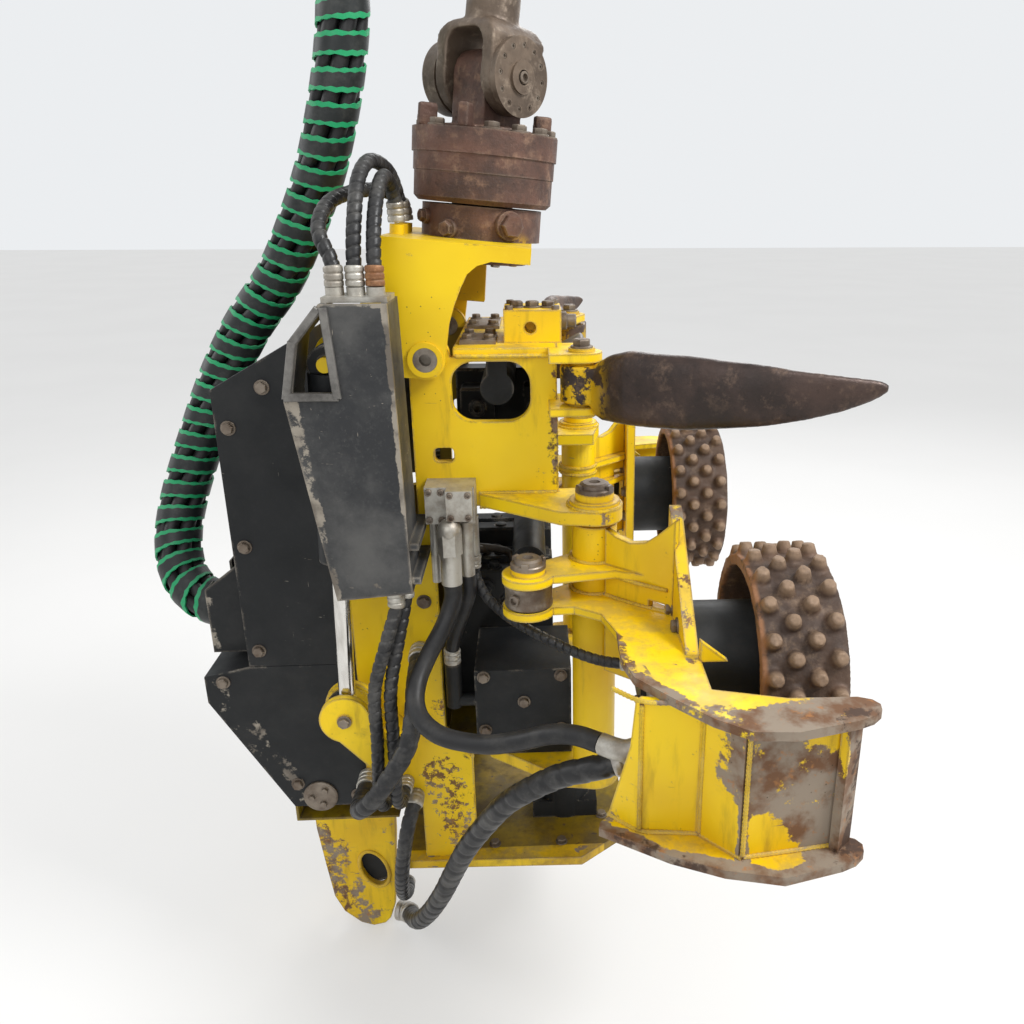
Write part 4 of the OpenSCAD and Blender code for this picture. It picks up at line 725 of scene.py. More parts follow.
# Six hoses round a seventh, twisted a little, with a flat strip wound round them
def makeBundle(name, spec):
    line, gone = evenLine(spec["route"], 0.012)
    half = spec["strand"] / 2
    strands = Tubes()
    for k in range(spec["around"] + 1):
        start = math.tau * k / spec["around"]

        def shift(distance, start=start, k=k):
            return (0 if k == spec["around"] else spec["strand"]), start + math.tau * distance / spec["twist"]
        strands.add(line, gone, lambda gone, turn: half, 14, shift)
    piece = strands.make(name + "Hoses", "hose")
    wrap = spec["wrap"]
    fine, far = evenLine(spec["route"], 0.004)
    across = acrossLine(fine)
    outer = spec["diameter"] / 2 + wrap["thick"]
    start, perTurn = wrap["bare"][0], wrap["steps"]
    turns = (far[-1] - wrap["bare"][1] - start - wrap["width"]) / wrap["pitch"]
    columns = [0, wrap["edge"], wrap["width"] - wrap["edge"], wrap["width"]]
    points, faces, slots = [], [], []
    for i in range(int(turns * perTurn) + 1):
        angle = math.tau * i / perTurn
        for radius in (outer, outer - wrap["thick"]):
            for column in columns:
                distance = start + wrap["pitch"] * i / perTurn + column
                k = min(round(distance / far[-1] * (len(fine) - 1)), len(fine) - 1)
                side, up = across[k]
                points.append(fine[k] + (side * math.cos(angle) + up * math.sin(angle)) * radius)
        if i:
            a, b = 8 * (i - 1), 8 * i
            for c, slot in ((0, 1), (1, 0), (2, 1)):
                faces.append((a + c, a + c + 1, b + c + 1, b + c))
                faces.append((a + 4 + c, b + 4 + c, b + 5 + c, a + 5 + c))
                slots += [slot, 0]
            faces += [(a, b, b + 4, a + 4), (a + 3, a + 7, b + 7, b + 3)]
            slots += [1, 1]
    last = len(points) - 8
    faces += [(0, 4, 5, 1), (1, 5, 6, 2), (2, 6, 7, 3)]
    faces += [(last + c, last + c + 1, last + c + 5, last + c + 4) for c in range(3)]
    slots += [0] * 6
    strip = makeMesh(name + "Strip", points, faces, [paint["strip"], paint["stripEdge"]], slots)
    return piece, line, gone, strip


def hangHose(piece, spec):
    if "bend" in spec:
        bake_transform(piece)
    else:
        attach(piece, "head")


for name, spec in hoses.items():
    if "strand" in spec:
        piece, line, gone, strip = makeBundle(name, spec)
        hangHose(strip, spec)
    else:
        piece, line, gone = makeHose(name, spec)
    hangHose(piece, spec)
    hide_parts(spec["node"])
    print(f"{name} hose, {gone[-1]:.2f} m long")


# Rolled and cut plates: their edges are broken a little
rounding = {
    "weld": 0.00002, "width": 0.0018, "segments": 2, "angle": 35,
    "left": ["link_yoke", "rotator_housing", "knife_near", "knife_far", "fixed_knife", "feed_roller_near",
             "feed_roller_far", "roller_studs_near", "roller_studs_far", "frame_side_near", "frame_side_far",
             "guard_near", "saw_horn"],
}


def roundEdges(node):
    weld = node.modifiers.new("weld", "WELD")
    weld.merge_threshold = rounding["weld"]
    bevel = node.modifiers.new("edges", "BEVEL")
    bevel.width = rounding["width"]
    bevel.segments = rounding["segments"]
    bevel.limit_method = "ANGLE"
    bevel.angle_limit = math.radians(rounding["angle"])
    flat = node.modifiers.new("flat", "WEIGHTED_NORMAL")
    flat.weight = 100


for name, node in nodes.items():
    if not node.hide_render and name not in rounding["left"]:
        roundEdges(node)
print("plate edges rounded")


# Forged and cast pieces: one skin over their parts, with soft edges and a pitted face
castings = {
    "linkYoke": {"nodes": ["link_yoke"], "voxel": 0.0030, "soften": 7, "lumps": (24, 0.0010), "pits": (150, 0.0003),
                 "finish": "link", "body": "link", "slot": "worn_steel"},
    "rotatorHousing": {"nodes": ["rotator_housing"], "voxel": 0.0030, "soften": 5, "lumps": (30, 0.0009),
                       "pits": (160, 0.0004), "finish": "rotator", "body": "rotator", "slot": "rusty_cast"},
    "fixedKnife": {"nodes": ["fixed_knife"], "voxel": 0.0025, "soften": 4, "lumps": (30, 0.0008),
                   "pits": (170, 0.0003), "finish": "knife", "body": "head", "slot": "rusty_cast"},
}
for side, voxel in (("near", 0.0030), ("far", 0.0034)):
    castings[side + "Roller"] = {
        "nodes": ["feed_roller_" + side, "roller_studs_" + side], "voxel": voxel, "soften": 1,
        "lumps": (38, 0.0007), "pits": (190, 0.0004), "finish": "roller", "body": "feed_roller_" + side,
        "slot": "rusty_cast"}


def skinOver(name, meshes, spec):
    joined = bmesh.new()
    for mesh in meshes:
        joined.from_mesh(mesh)
    raw = bpy.data.meshes.new(name + "Raw")
    joined.to_mesh(raw)
    joined.free()
    piece = bpy.data.objects.new(name, raw)
    bpy.context.scene.collection.objects.link(piece)
    skin = piece.modifiers.new("skin", "REMESH")
    skin.mode = "VOXEL"
    skin.voxel_size = spec["voxel"]
    soften = piece.modifiers.new("soften", "SMOOTH")
    soften.factor = 0.5
    soften.iterations = spec["soften"]
    done = applyModifiers(piece)
    lumpScale, lump = spec["lumps"]
    pitScale, pit = spec["pits"]
    moved = []
    for v in done.vertices:
        shift = noise.noise(v.co * lumpScale) * lump + min(0.0, noise.noise(v.co * pitScale)) * 2 * pit
        moved.extend(v.co + v.normal * shift)
    done.vertices.foreach_set("co", moved)
    done.shade_smooth()
    done.update()
    setMaterial(piece, paint[spec["finish"]])
    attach(piece, spec["body"])
    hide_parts(*spec["nodes"])


for name, spec in castings.items():
    skinOver(name, [nodes[n].data for n in spec["nodes"]], spec)
print("castings made")


# Upper knives: a forged blade with a swelling section, on a hub and a wedge
knives = {
    "root": 0.06, "reach": 485, "sag": 62, "steps": 46, "sides": 30,
    "thick": [(0, 16), (0.2, 27), (1, 7)], "round": (0.8, 0.9),
    "low": [(0.06, 4), (0.10, -4), (0.22, -2), (0.42, 4), (0.68, 22), (0.88, 46), (0.975, 66), (1.0, 76)],
    "high": [(0.06, 84), (0.13, 106), (0.21, 116), (0.41, 118), (0.61, 113), (0.83, 101), (0.975, 93), (1.0, 86)],
    "hub": [(36, 19), (36, 83), (22.3, 83), (22.3, 19)], "hubSides": 48,
    "wedge": [(18, -33), (60, -36), (112, -34), (126, -22), (122, 4), (60, 34), (18, 33)],
    "wedgeFoot": 22, "wedgeTop": 80,
    "pivot": (-20, 250, 1262),
    "near": {"side": -1, "open": 27, "node": "knife_near", "finish": "knife"},
    "far": {"side": 1, "open": 84, "node": "knife_far", "finish": "farKnife"},
    "voxel": 0.0028, "soften": 4, "lumps": (22, 0.0012), "pits": (140, 0.0003), "slot": "rusty_cast",
}


def along(table, t):
    for (a, low), (b, high) in zip(table, table[1:]):
        if t <= b:
            share = (t - a) / (b - a)
            return low + (high - low) * share
    return table[-1][1]


# A turn of the blade's section, fuller than an ellipse
def fuller(share, power):
    return math.copysign(abs(share) ** power, share)


# Points of the knife in its own frame turn with its opening, then mirror to its side
def knifePlace(point, spec):
    turned = Matrix.Rotation(math.radians(-spec["open"]), 3, "Z") @ Vector(point)
    x, y, z = knives["pivot"]
    return at(x + turned.x, -y + turned.y if spec["side"] < 0 else y - turned.y, z + turned.z)


def knifeMeshes(spec):
    points, sides, steps = [], knives["sides"], knives["steps"]
    for i in range(steps + 1):
        t = knives["root"] + (1 - knives["root"]) * i / steps
        low, high = along(knives["low"], t), along(knives["high"], t)
        middle = -4 * knives["sag"] * t * (1 - t)
        for j in range(sides):
            angle = math.tau * j / sides
            across = fuller(math.cos(angle), knives["round"][0]) * along(knives["thick"], t)
            rise = fuller(math.sin(angle), knives["round"][1]) * (high - low) / 2
            points.append(knifePlace((knives["reach"] * t, middle + across, (low + high) / 2 + rise), spec))
    blade = bpy.data.meshes.new("blade")
    blade.from_pydata([tuple(p) for p in points], [], ringFaces(steps + 1, sides))
    ring, around = [], knives["hubSides"]
    for radius, z in knives["hub"]:
        for j in range(around):
            angle = math.tau * j / around
            ring.append(knifePlace((radius * math.cos(angle), radius * math.sin(angle), z), spec))
    loops = [(k * around + j, k * around + (j + 1) % around, (k + 1) % 4 * around + (j + 1) % around,
              (k + 1) % 4 * around + j) for k in range(4) for j in range(around)]
    hub = bpy.data.meshes.new("hub")
    hub.from_pydata([tuple(p) for p in ring], [], loops)
    levels = (knives["wedgeFoot"], knives["wedgeTop"])
    corners = [tuple(knifePlace((x, y, z), spec)) for z in levels for x, y in knives["wedge"]]
    wedge = bpy.data.meshes.new("wedge")
    wedge.from_pydata(corners, [], ringFaces(2, len(knives["wedge"])))
    for mesh in (blade, hub, wedge):
        faceOutward(mesh)
    return [blade, hub, wedge]


for side in ("near", "far"):
    spec = {**{k: knives[k] for k in ("voxel", "soften", "lumps", "pits", "slot")}, **knives[side]}
    spec["body"] = spec["node"]
    spec["nodes"] = [spec["node"]]
    skinOver(side + "Knife", knifeMeshes(spec), spec)
print("knives made")


# Bolts, nuts and plugs: many small turned pieces joined into one mesh for each group
class Fasteners:
    def __init__(self):
        self.points, self.faces = [], []

    # Rings of (radius, height) stand on the place along the axis; six sides make a hexagon
    def turn(self, place, axis, rings, sides, spin=0.0):
        axis = Vector(axis).normalized()
        side = axis.orthogonal().normalized()
        up = axis.cross(side)
        first = len(self.points)
        for radius, height in rings:
            for j in range(sides):
                angle = math.tau * j / sides + spin
                way = side * math.cos(angle) + up * math.sin(angle)
                self.points.append(place + axis * height + way * radius)
        self.faces += ringFaces(len(rings), sides, first)

    # Plate or block: an outline in two directions from a corner, with a broken upper edge
    def block(self, corner, along, across, height, chamfer=0.0015):
        up = along.cross(across).normalized()
        inward = [along.normalized() + across.normalized(), across.normalized() - along.normalized(),
                  -along.normalized() - across.normalized(), along.normalized() - across.normalized()]
        feet = [corner, corner + along, corner + along + across, corner + across]
        first = len(self.points)
        for rise, shrink in ((0, 0), (height - chamfer, 0), (height, chamfer)):
            self.points += [foot + up * rise + way * shrink for foot, way in zip(feet, inward)]
        self.faces += ringFaces(3, 4, first)

    # Flat bar between two points, lying on a face that looks along the axis
    def bar(self, start, end, axis, width, thick):
        axis = Vector(axis).normalized()
        way = end - start
        side = axis.cross(way).normalized() * width
        self.block(start - side / 2, way, side, thick)

    # Hexagon head with a washer, size across its corners
    def hex(self, place, axis, size):
        r, spin = size / 2, random.uniform(0, 1.0)
        self.turn(place, axis, [(r * 1.25, -0.001), (r * 1.25, r * 0.16), (r * 1.20, r * 0.22)], 20)
        body = [(r * 0.96, r * 0.2), (r, r * 0.26), (r, r * 0.80), (r * 0.90, r * 0.92), (r * 0.86, r * 0.92)]
        self.turn(place, axis, body, 6, spin)
        self.turn(place, axis, [(r * 0.80, r * 0.90), (r * 0.78, r * 0.95)], 18)

    # Round head with a round hole sunk in its top
    def cap(self, place, axis, size):
        r, spin = size / 2, random.uniform(0, 1.0)
        self.turn(place, axis, [(r, -0.001), (r, r * 0.9), (r * 0.9, r * 1.02), (r * 0.62, r * 1.02),
                                (r * 0.50, r * 0.45)], 18, spin)

    def make(self, name, finish, body, slot):
        piece = makeMesh(name, self.points, self.faces, paint[finish], smoothTo=32)
        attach(piece, body)

    # Rows of heads: kind, way they look, size, their face's place along that way, and their places on the face.
    # Side is -1 to mirror the rows to the near side
    def rows(self, table, side=1):
        for kind, way, size, level, places in table:
            for place in places:
                spot = list(place)
                spot.insert([abs(v) for v in way].index(1), level)
                draw = self.hex if kind == "hex" else self.cap
                draw(at(spot[0], spot[1] * side, spot[2]), (way[0], way[1] * side, way[2]), size)


toLeft, toRight, toNear, toFar, upright = (-1, 0, 0), (1, 0, 0), (0, -1, 0), (0, 1, 0), (0, 0, 1)

coverBolts = {"count": 12, "circle": 49.5, "nearFace": -77, "farFace": 102, "capSize": 0.0084, "hexSize": 0.016,
              "middleFace": -80, "middleSize": 0.020}


def linkBolts():
    group = Fasteners()
    nearWay = linkAt(0, -1, 0) - linkAt(0, 0, 0)
    for i in range(coverBolts["count"]):
        angle = math.tau * i / coverBolts["count"]
        x, z = coverBolts["circle"] * math.sin(angle), coverBolts["circle"] * math.cos(angle)
        group.cap(linkAt(x, coverBolts["nearFace"], z), nearWay, coverBolts["capSize"])
        group.hex(linkAt(x, coverBolts["farFace"], z), -nearWay, coverBolts["hexSize"])
    group.cap(linkAt(0, coverBolts["middleFace"], 0), nearWay, coverBolts["middleSize"])
    group.make("linkBolts", "bolt", "link", "worn_steel")


flangeBolts = {"circle": 111, "top": 368, "size": 0.026, "angles": (0, 52, 77, 103, 128, 180, 232, 257, 283, 308)}
rotatorPorts = {  # the seat's rings as shares of the size, then around, height and size of each plug
    "radius": 106, "seat": ((0.62, -0.004), (0.62, 0.005), (0.56, 0.007)), "seatTop": 0.006,
    "plugs": ((-62, 218, 0.040), (-118, 205, 0.026), (-150, 222, 0.022), (60, 215, 0.034), (150, 212, 0.024)),
}
tiltDisc = {"top": 165, "rings": [(0.080, -0.001), (0.080, 0.010), (0.075, 0.013), (0.044, 0.013), (0.040, 0.005)],
            "bolts": 6, "circle": 61, "boltTop": 152.2, "boltSize": 0.017}


def rotatorBolts():
    group = Fasteners()
    up = leanedAt(0, 0, 1) - leanedAt(0, 0, 0)
    for angle in flangeBolts["angles"]:
        turn = math.radians(angle + stance["yaw"])
        x, y = flangeBolts["circle"] * math.cos(turn), flangeBolts["circle"] * math.sin(turn)
        group.hex(leanedAt(stance["reach"] + x, y, flangeBolts["top"]), up, flangeBolts["size"])
    group.make("flangeBolts", "bolt", "rotator", "worn_steel")
    ports = Fasteners()
    radius = rotatorPorts["radius"]
    for azimuth, height, size in rotatorPorts["plugs"]:
        turn = math.radians(azimuth)
        way = leanedAt(math.cos(turn), math.sin(turn), 0) - leanedAt(0, 0, 0)
        foot = leanedAt(stance["reach"] + radius * math.cos(turn), radius * math.sin(turn), height)
        ports.turn(foot, way, [(size * share, rise) for share, rise in rotatorPorts["seat"]], 22)
        ports.hex(foot + way.normalized() * rotatorPorts["seatTop"], way, size)
    ports.make("rotatorPlugs", "rotatorBody", "tilt_frame", "rusty_cast")
    disc = Fasteners()
    disc.turn(leanedAt(stance["reach"], 0, tiltDisc["top"]), -up, tiltDisc["rings"], 44)
    for k in range(tiltDisc["bolts"]):
        turn = math.tau * k / tiltDisc["bolts"]
        x, y = tiltDisc["circle"] * math.cos(turn), tiltDisc["circle"] * math.sin(turn)
        disc.hex(leanedAt(stance["reach"] + x, y, tiltDisc["boltTop"]), -up, tiltDisc["boltSize"])
    disc.make("tiltDisc", "silver", "tilt_frame", "worn_steel")


# Round head of a pin: a dished washer whose tabs stand against the nut
pinHead = {
    "rings": ((1, -0.001), (1, 0.005), (0.94, 0.007), (0.80, 0.008), (0.76, 0.013), (0.62, 0.016), (0.30, 0.016),
              (0.26, 0.010)),
    "tabs": 3, "tabFrom": 0.80, "tabLong": 0.19, "tabWide": 0.40, "tabFoot": 0.004, "tabTall": 0.010,
}


def keeper(group, centre, radius, turn):
    foot, r = at(*centre), radius / 1000
    group.turn(foot, upright, [(r * share, rise) for share, rise in pinHead["rings"]], 30)
    for k in range(pinHead["tabs"]):
        angle = math.radians(turn + 360 / pinHead["tabs"] * k)
        out = Vector((math.cos(angle), math.sin(angle), 0))
        side = Vector((-out.y, out.x, 0))
        corner = foot + out * r * pinHead["tabFrom"] - side * r * pinHead["tabWide"] / 2
        group.block(corner + Vector((0, 0, pinHead["tabFoot"])), out * r * pinHead["tabLong"],
                    side * r * pinHead["tabWide"], pinHead["tabTall"])


onHead = {
    "armPin": (280, 1133, 33, 35),
    "covers": [  # the rear covers' edges, and the screws of the cap at their foot
        ("hex", toFar, 0.021, 196, [(-625, 1230), (-625, 1010), (-560, 1300), (-625, 800), (-470, 800),
                                    (-470, 1180), (-700, 735), (-470, 745), (-585, 500), (-470, 470)]),
        ("hex", toFar, 0.014, 201, [(-560, 470), (-533, 486), (-538, 455)])],
    "footCap": ((-543, 196, 470), [(0.034, -0.001), (0.034, 0.004), (0.031, 0.006)]),
    "sides": [  # side plates, pins of the rods' lugs and of the knives
        ("hex", toFar, 0.022, 210, [(-425, 640), (-425, 600), (-310, 620), (-310, 900)]),
        ("hex", toFar, 0.020, 337, [(-446, 729)]),
        ("hex", upright, 0.030, 1371, [(-20, 250)])],
    "valve": [("cap", upright, 0.014, 1421, [(-140, -150), (-60, -150), (-140, -60), (-60, -60)]),
              ("hex", upright, 0.024, 1421, [(-128, -118), (-100, -118), (-72, -118)])],
    "valveFitting": ((-50, -105, 1396), [(0.016, -0.001), (0.016, 0.010), (0.012, 0.012), (0.012, 0.026),
                                         (0.010, 0.028)]),
    "lids": [((-226, -172), (62, 96)), ((-226, 20), (62, 120))],  # on the top plate: corner and size
    "lidFoot": 1365, "lidTop": 1372, "lidBolt": 0.019, "lidInset": (12, 14),
    "low": [  # hydraulic block, the box behind the shelf, and the shelf
        ("cap", toNear, 0.012, -265, [(-283, 1080), (-283, 1130), (-262, 1130), (-262, 1080)]),
        ("cap", toNear, 0.011, -288, [(-245, 1091), (-215, 1091), (-245, 1131), (-215, 1131)]),
        ("hex", toNear, 0.020, -240, [(-205, 640), (-60, 640), (-205, 755), (-60, 755), (-130, 700)]),
        ("hex", upright, 0.020, 320, [(-330, -200), (-330, 0), (-330, 150), (-200, -180), (-60, -180), (30, -100),
                                      (30, 40)])],
}


def headBolts():
    group = Fasteners()
    across, height, radius, turn = onHead["armPin"]
    place, rings = onHead["footCap"]
    for side in (-1, 1):
        keeper(group, (0, side * across, height), radius, turn * side)
        group.rows(onHead["covers"], side)
        group.turn(at(place[0], side * place[1], place[2]), (0, side, 0), rings, 28)
        group.rows(onHead["sides"], side)
    group.rows(onHead["valve"])
    place, rings = onHead["valveFitting"]
    group.turn(at(*place), toRight, rings, 20)
    dx, dy = onHead["lidInset"]
    for (x, y), (long, wide) in onHead["lids"]:
        foot, top = onHead["lidFoot"], onHead["lidTop"]
        group.block(at(x, y, foot), Vector((long / 1000, 0, 0)), Vector((0, wide / 1000, 0)), (top - foot) / 1000)
        group.rows([("hex", upright, onHead["lidBolt"], top, [
            (x + dx, y + dy), (x + long - dx, y + dy), (x + dx, y + wide - dy), (x + long - dx, y + wide - dy)])])
    group.rows(onHead["low"])
    group.make("headBolts", "bolt", "head", "worn_steel")


onArms = {
    "pin": (-115, 350, 1026, 30, -20), "wheelAxis": (429, 889), "count": 8,
    "plate": {"x": 120, "circle": 82, "size": 0.022}, "wheel": {"x": 345, "circle": 64, "size": 0.026},
    "motor": [("cap", toLeft, 0.013, 60, [(470, 840), (388, 840), (470, 932), (388, 932)])],
}


def boltCircle(group, spec, way, side, first):
    across, height = onArms["wheelAxis"]
    for i in range(onArms["count"]):
        angle = math.tau * (i + first) / onArms["count"]
        y, z = side * across + spec["circle"] * math.sin(angle), height + spec["circle"] * math.cos(angle)
        group.hex(at(spec["x"], y, z), way, spec["size"])


def armBolts():
    x, across, height, radius, turn = onArms["pin"]
    for side, word in ((-1, "near"), (1, "far")):
        group = Fasteners()
        keeper(group, (x, side * across, height), radius, turn * side)
        boltCircle(group, onArms["plate"], toLeft, side, 0.5)
        group.rows(onArms["motor"], side)
        group.make(word + "ArmBolts", "bolt", "feed_arm_" + word, "worn_steel")
        wheel = Fasteners()
        boltCircle(wheel, onArms["wheel"], toRight, side, 0)
        wheel.make(word + "RollerBolts", "bolt", "feed_roller_" + word, "worn_steel")


linkBolts()
rotatorBolts()
headBolts()
armBolts()
print("bolts made")


# Openings cut through a plate: the near guard's window and the hole in the horn
openings = {
    "guardWindow": {"node": "guard_near", "outline": [(-465, 1323), (-405, 1323), (-412, 1441), (-450, 1397)],
                    "from": -370, "to": -345, "finish": "guard", "slot": "black_paint"},
    "hornHole": {"node": "saw_horn", "centre": (-484, 163), "half": (27, 48), "lean": 18,
                 "from": -70, "to": -40, "finish": "horn", "slot": "yellow_paint"},
}


def ovalPoints(spec, grow=0.0, count=28):
    lean = math.radians(spec["lean"])
    found = []
    for k in range(count):
        a = (spec["half"][0] + grow) * math.cos(math.tau * k / count)
        b = (spec["half"][1] + grow) * math.sin(math.tau * k / count)
        found.append((spec["centre"][0] + a * math.cos(lean) - b * math.sin(lean),
                      spec["centre"][1] + a * math.sin(lean) + b * math.cos(lean)))
    return found


def cutOpening(name, spec):
    outline = spec.get("outline") or ovalPoints(spec)
    corners = [at(x, y, z) for y in (spec["from"], spec["to"]) for x, z in outline]
    cutter = makeMesh(name + "Cutter", corners, ringFaces(2, len(outline)), paint[spec["finish"]])
    faceOutward(cutter.data)
    whole = bmesh.new()
    whole.from_mesh(nodes[spec["node"]].data)
    bmesh.ops.remove_doubles(whole, verts=whole.verts, dist=rounding["weld"])
    data = bpy.data.meshes.new(name)
    whole.to_mesh(data)
    whole.free()
    piece = bpy.data.objects.new(name, data)
    bpy.context.scene.collection.objects.link(piece)
    cut = piece.modifiers.new("cut", "BOOLEAN")
    cut.object = cutter
    cut.operation = "DIFFERENCE"
    applyModifiers(piece)
    bpy.data.objects.remove(cutter)
    setMaterial(piece, paint[spec["finish"]])
    roundEdges(piece)
    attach(piece, "head")
    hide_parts(spec["node"])


for name, spec in openings.items():
    cutOpening(name, spec)
print("openings cut")


# Bars welded round the guard's window, the lip of the horn's hole, and a dark disc behind the hole as painted shade
# for its inside
trim = {
    "bars": [((-414, 1449), (-457, 1399)), ((-457, 1401), (-475, 1314)), ((-478, 1317), (-396, 1317)),
             ((-407, 1450), (-398, 1314))],
    "barsFace": -360, "width": 0.012, "thick": 0.006, "thicker": 0.0007,
    "lip": 0.0045, "lipFace": -60, "lipOut": 3,
    # the dark disc behind the horn's hole, painted shade for the hole's inside: its face and its rings
    "shadeDiscFace": -36, "back": [(0.052, 0), (0.052, 0.004), (0.046, 0.008), (0.02, 0.003)],
}


def makeTrim():
    group = Fasteners()
    for i, ends in enumerate(trim["bars"]):
        start, end = [at(x, trim["barsFace"], z) for x, z in ends]
        group.bar(start, end, toNear, trim["width"], trim["thick"] + trim["thicker"] * i)
    group.make("guardTrim", "trim", "head", "worn_steel")
    spec = openings["hornHole"]
    ring = [(x, trim["lipFace"], z) for x, z in ovalPoints(spec, trim["lipOut"])]
    line, gone = evenLine(ring + ring[:1], 0.004, 8)
    tube = Tubes()
    tube.add(line, gone, lambda gone, turn: trim["lip"], 10)
    lip = tube.make("hornLip", "horn")
    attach(lip, "head")
    # A dark disc set behind the horn's hole: painted shade standing in for the hole's shaded inside
    back = Fasteners()
    back.turn(at(spec["centre"][0], trim["shadeDiscFace"], spec["centre"][1]), toNear, trim["back"], 28)
    back.make("hornShadeDisc", "inner", "head", "black_paint")


makeTrim()
print("trim made")


# Valve bank between the side plates: sections on a foot, with caps, ports and bent steel pipes
innerBank = {
    "left": -280, "length": 205, "near": -52, "foot": 585.5, "pitch": 47, "section": 43,
    "tops": (890, 902, 890, 930, 934),
    "capSpots": (28, 92, 160), "capSize": (0.030, 0.024, 0.030),
    "pipes": [
        [(-262, -30, 880), (-262, -30, 906), (-252, -16, 917), (-222, 0, 917), (-206, 14, 908), (-206, 14, 885)],
        [(-150, -30, 880), (-150, -30, 903), (-158, -14, 914), (-190, 6, 916), (-236, 16, 914), (-246, 16, 885)],
        [(-110, 16, 885), (-110, 16, 905), (-112, 34, 917), (-120, 60, 915), (-124, 66, 900), (-124, 66, 880)],
        [(-262, 60, 1128), (-236, 40, 1134), (-200, 30, 1146), (-150, 34, 1150), (-112, 52, 1142), (-74, 70, 1134)],
        [(-262, 84, 1150), (-230, 74, 1160), (-190, 66, 1166), (-150, 64, 1160), (-110, 78, 1152), (-74, 96, 1150)]],
    "pipeRadius": 0.0085, "step": 6, "capStep": 10, "chamfer": 0.004, "hexUnder": 895,
    "blocks": [((-262, 128, 1112), (186, 60, 158)), ((-250, 70, 1150), (70, 58, 90)),
               ((-120, 96, 1130), (46, 40, 110))],
    "bored": [(-190, 128, 1215, 0.020), (-215, 70, 1200, 0.016), (-97, 96, 1190, 0.020)],
    "ports": [(-250, 830), (-205, 858), (-160, 826), (-115, 852), (-255, 868)], "portNut": 0.022, "portOut": 28,
    "portRings": [(0.017, -0.002), (0.017, 0.012), (0.013, 0.014), (0.013, 0.030), (0.010, 0.032)],
}


def makeInnerBank():
    bank = innerBank
    group = Fasteners()
    for i, top in enumerate(bank["tops"]):
        y = bank["near"] + i * bank["pitch"]
        corner = at(bank["left"] + bank["step"] * (i % 2), y, bank["foot"])
        long = Vector((bank["length"] / 1000, 0, 0))
        wide = Vector((0, bank["section"] / 1000, 0))
        group.block(corner, long, wide, (top - bank["foot"]) / 1000, bank["chamfer"])
        for spot, size in zip(bank["capSpots"], bank["capSize"]):
            foot = at(bank["left"] + spot + bank["capStep"] * (i % 2), y + bank["section"] / 2, top)
            if top < bank["hexUnder"]:
                group.hex(foot, upright, size)
            else:
                group.turn(foot, upright, [(size * 0.5, -0.002), (size * 0.5, 0.003), (size * 0.42, 0.004)], 18)
    for corner, (x, y, z) in bank["blocks"]:
        group.block(at(*corner), Vector((x / 1000, 0, 0)), Vector((0, y / 1000, 0)), z / 1000, bank["chamfer"])
    for x, y, z, size in bank["bored"]:
        group.turn(at(x, y, z), toNear, [(size, -0.002), (size, 0.010), (size * 0.85, 0.012), (size * 0.5, 0.012),
                                         (size * 0.42, 0.002)], 22)
    for x, z in bank["ports"]:
        group.turn(at(x, bank["near"], z), toNear, bank["portRings"], 18)
        group.hex(at(x, bank["near"] - bank["portOut"], z), toNear, bank["portNut"])
    group.make("innerBank", "inner", "head", "black_paint")
    tubes = Tubes()
    for route in bank["pipes"]:
        tubes.add(*evenLine(route, 0.004), lambda gone, turn: bank["pipeRadius"], 12)
    pipes = tubes.make("innerPipes", "oilySteel")
    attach(pipes, "head")


makeInnerBank()
print("valve bank made")


# Steel bush in the feed cylinder's eye, with its lubricator
bush = {
    "foot": (-115, -350, 958.2), "rise": 0.021, "out": 0.038, "way": (-0.55, -0.83, 0),
    "rings": [(0.0385, 0), (0.0405, 0.002), (0.0405, 0.008), (0.0395, 0.010), (0.0395, 0.031), (0.0405, 0.033),
              (0.0405, 0.0392), (0.0385, 0.0412)],
    "nipple": [(0.009, 0), (0.009, 0.006), (0.006, 0.007), (0.005, 0.003)],
}


def makeForkBush():
    group = Fasteners()
    foot, way = at(*bush["foot"]), Vector(bush["way"]).normalized()
    group.turn(foot, upright, bush["rings"], 40)
    group.turn(foot + Vector((0, 0, bush["rise"])) + way * bush["out"], way, bush["nipple"], 16)
    group.make("forkBush", "steel", "feed_barrel", "worn_steel")


makeForkBush()
print("bush made")


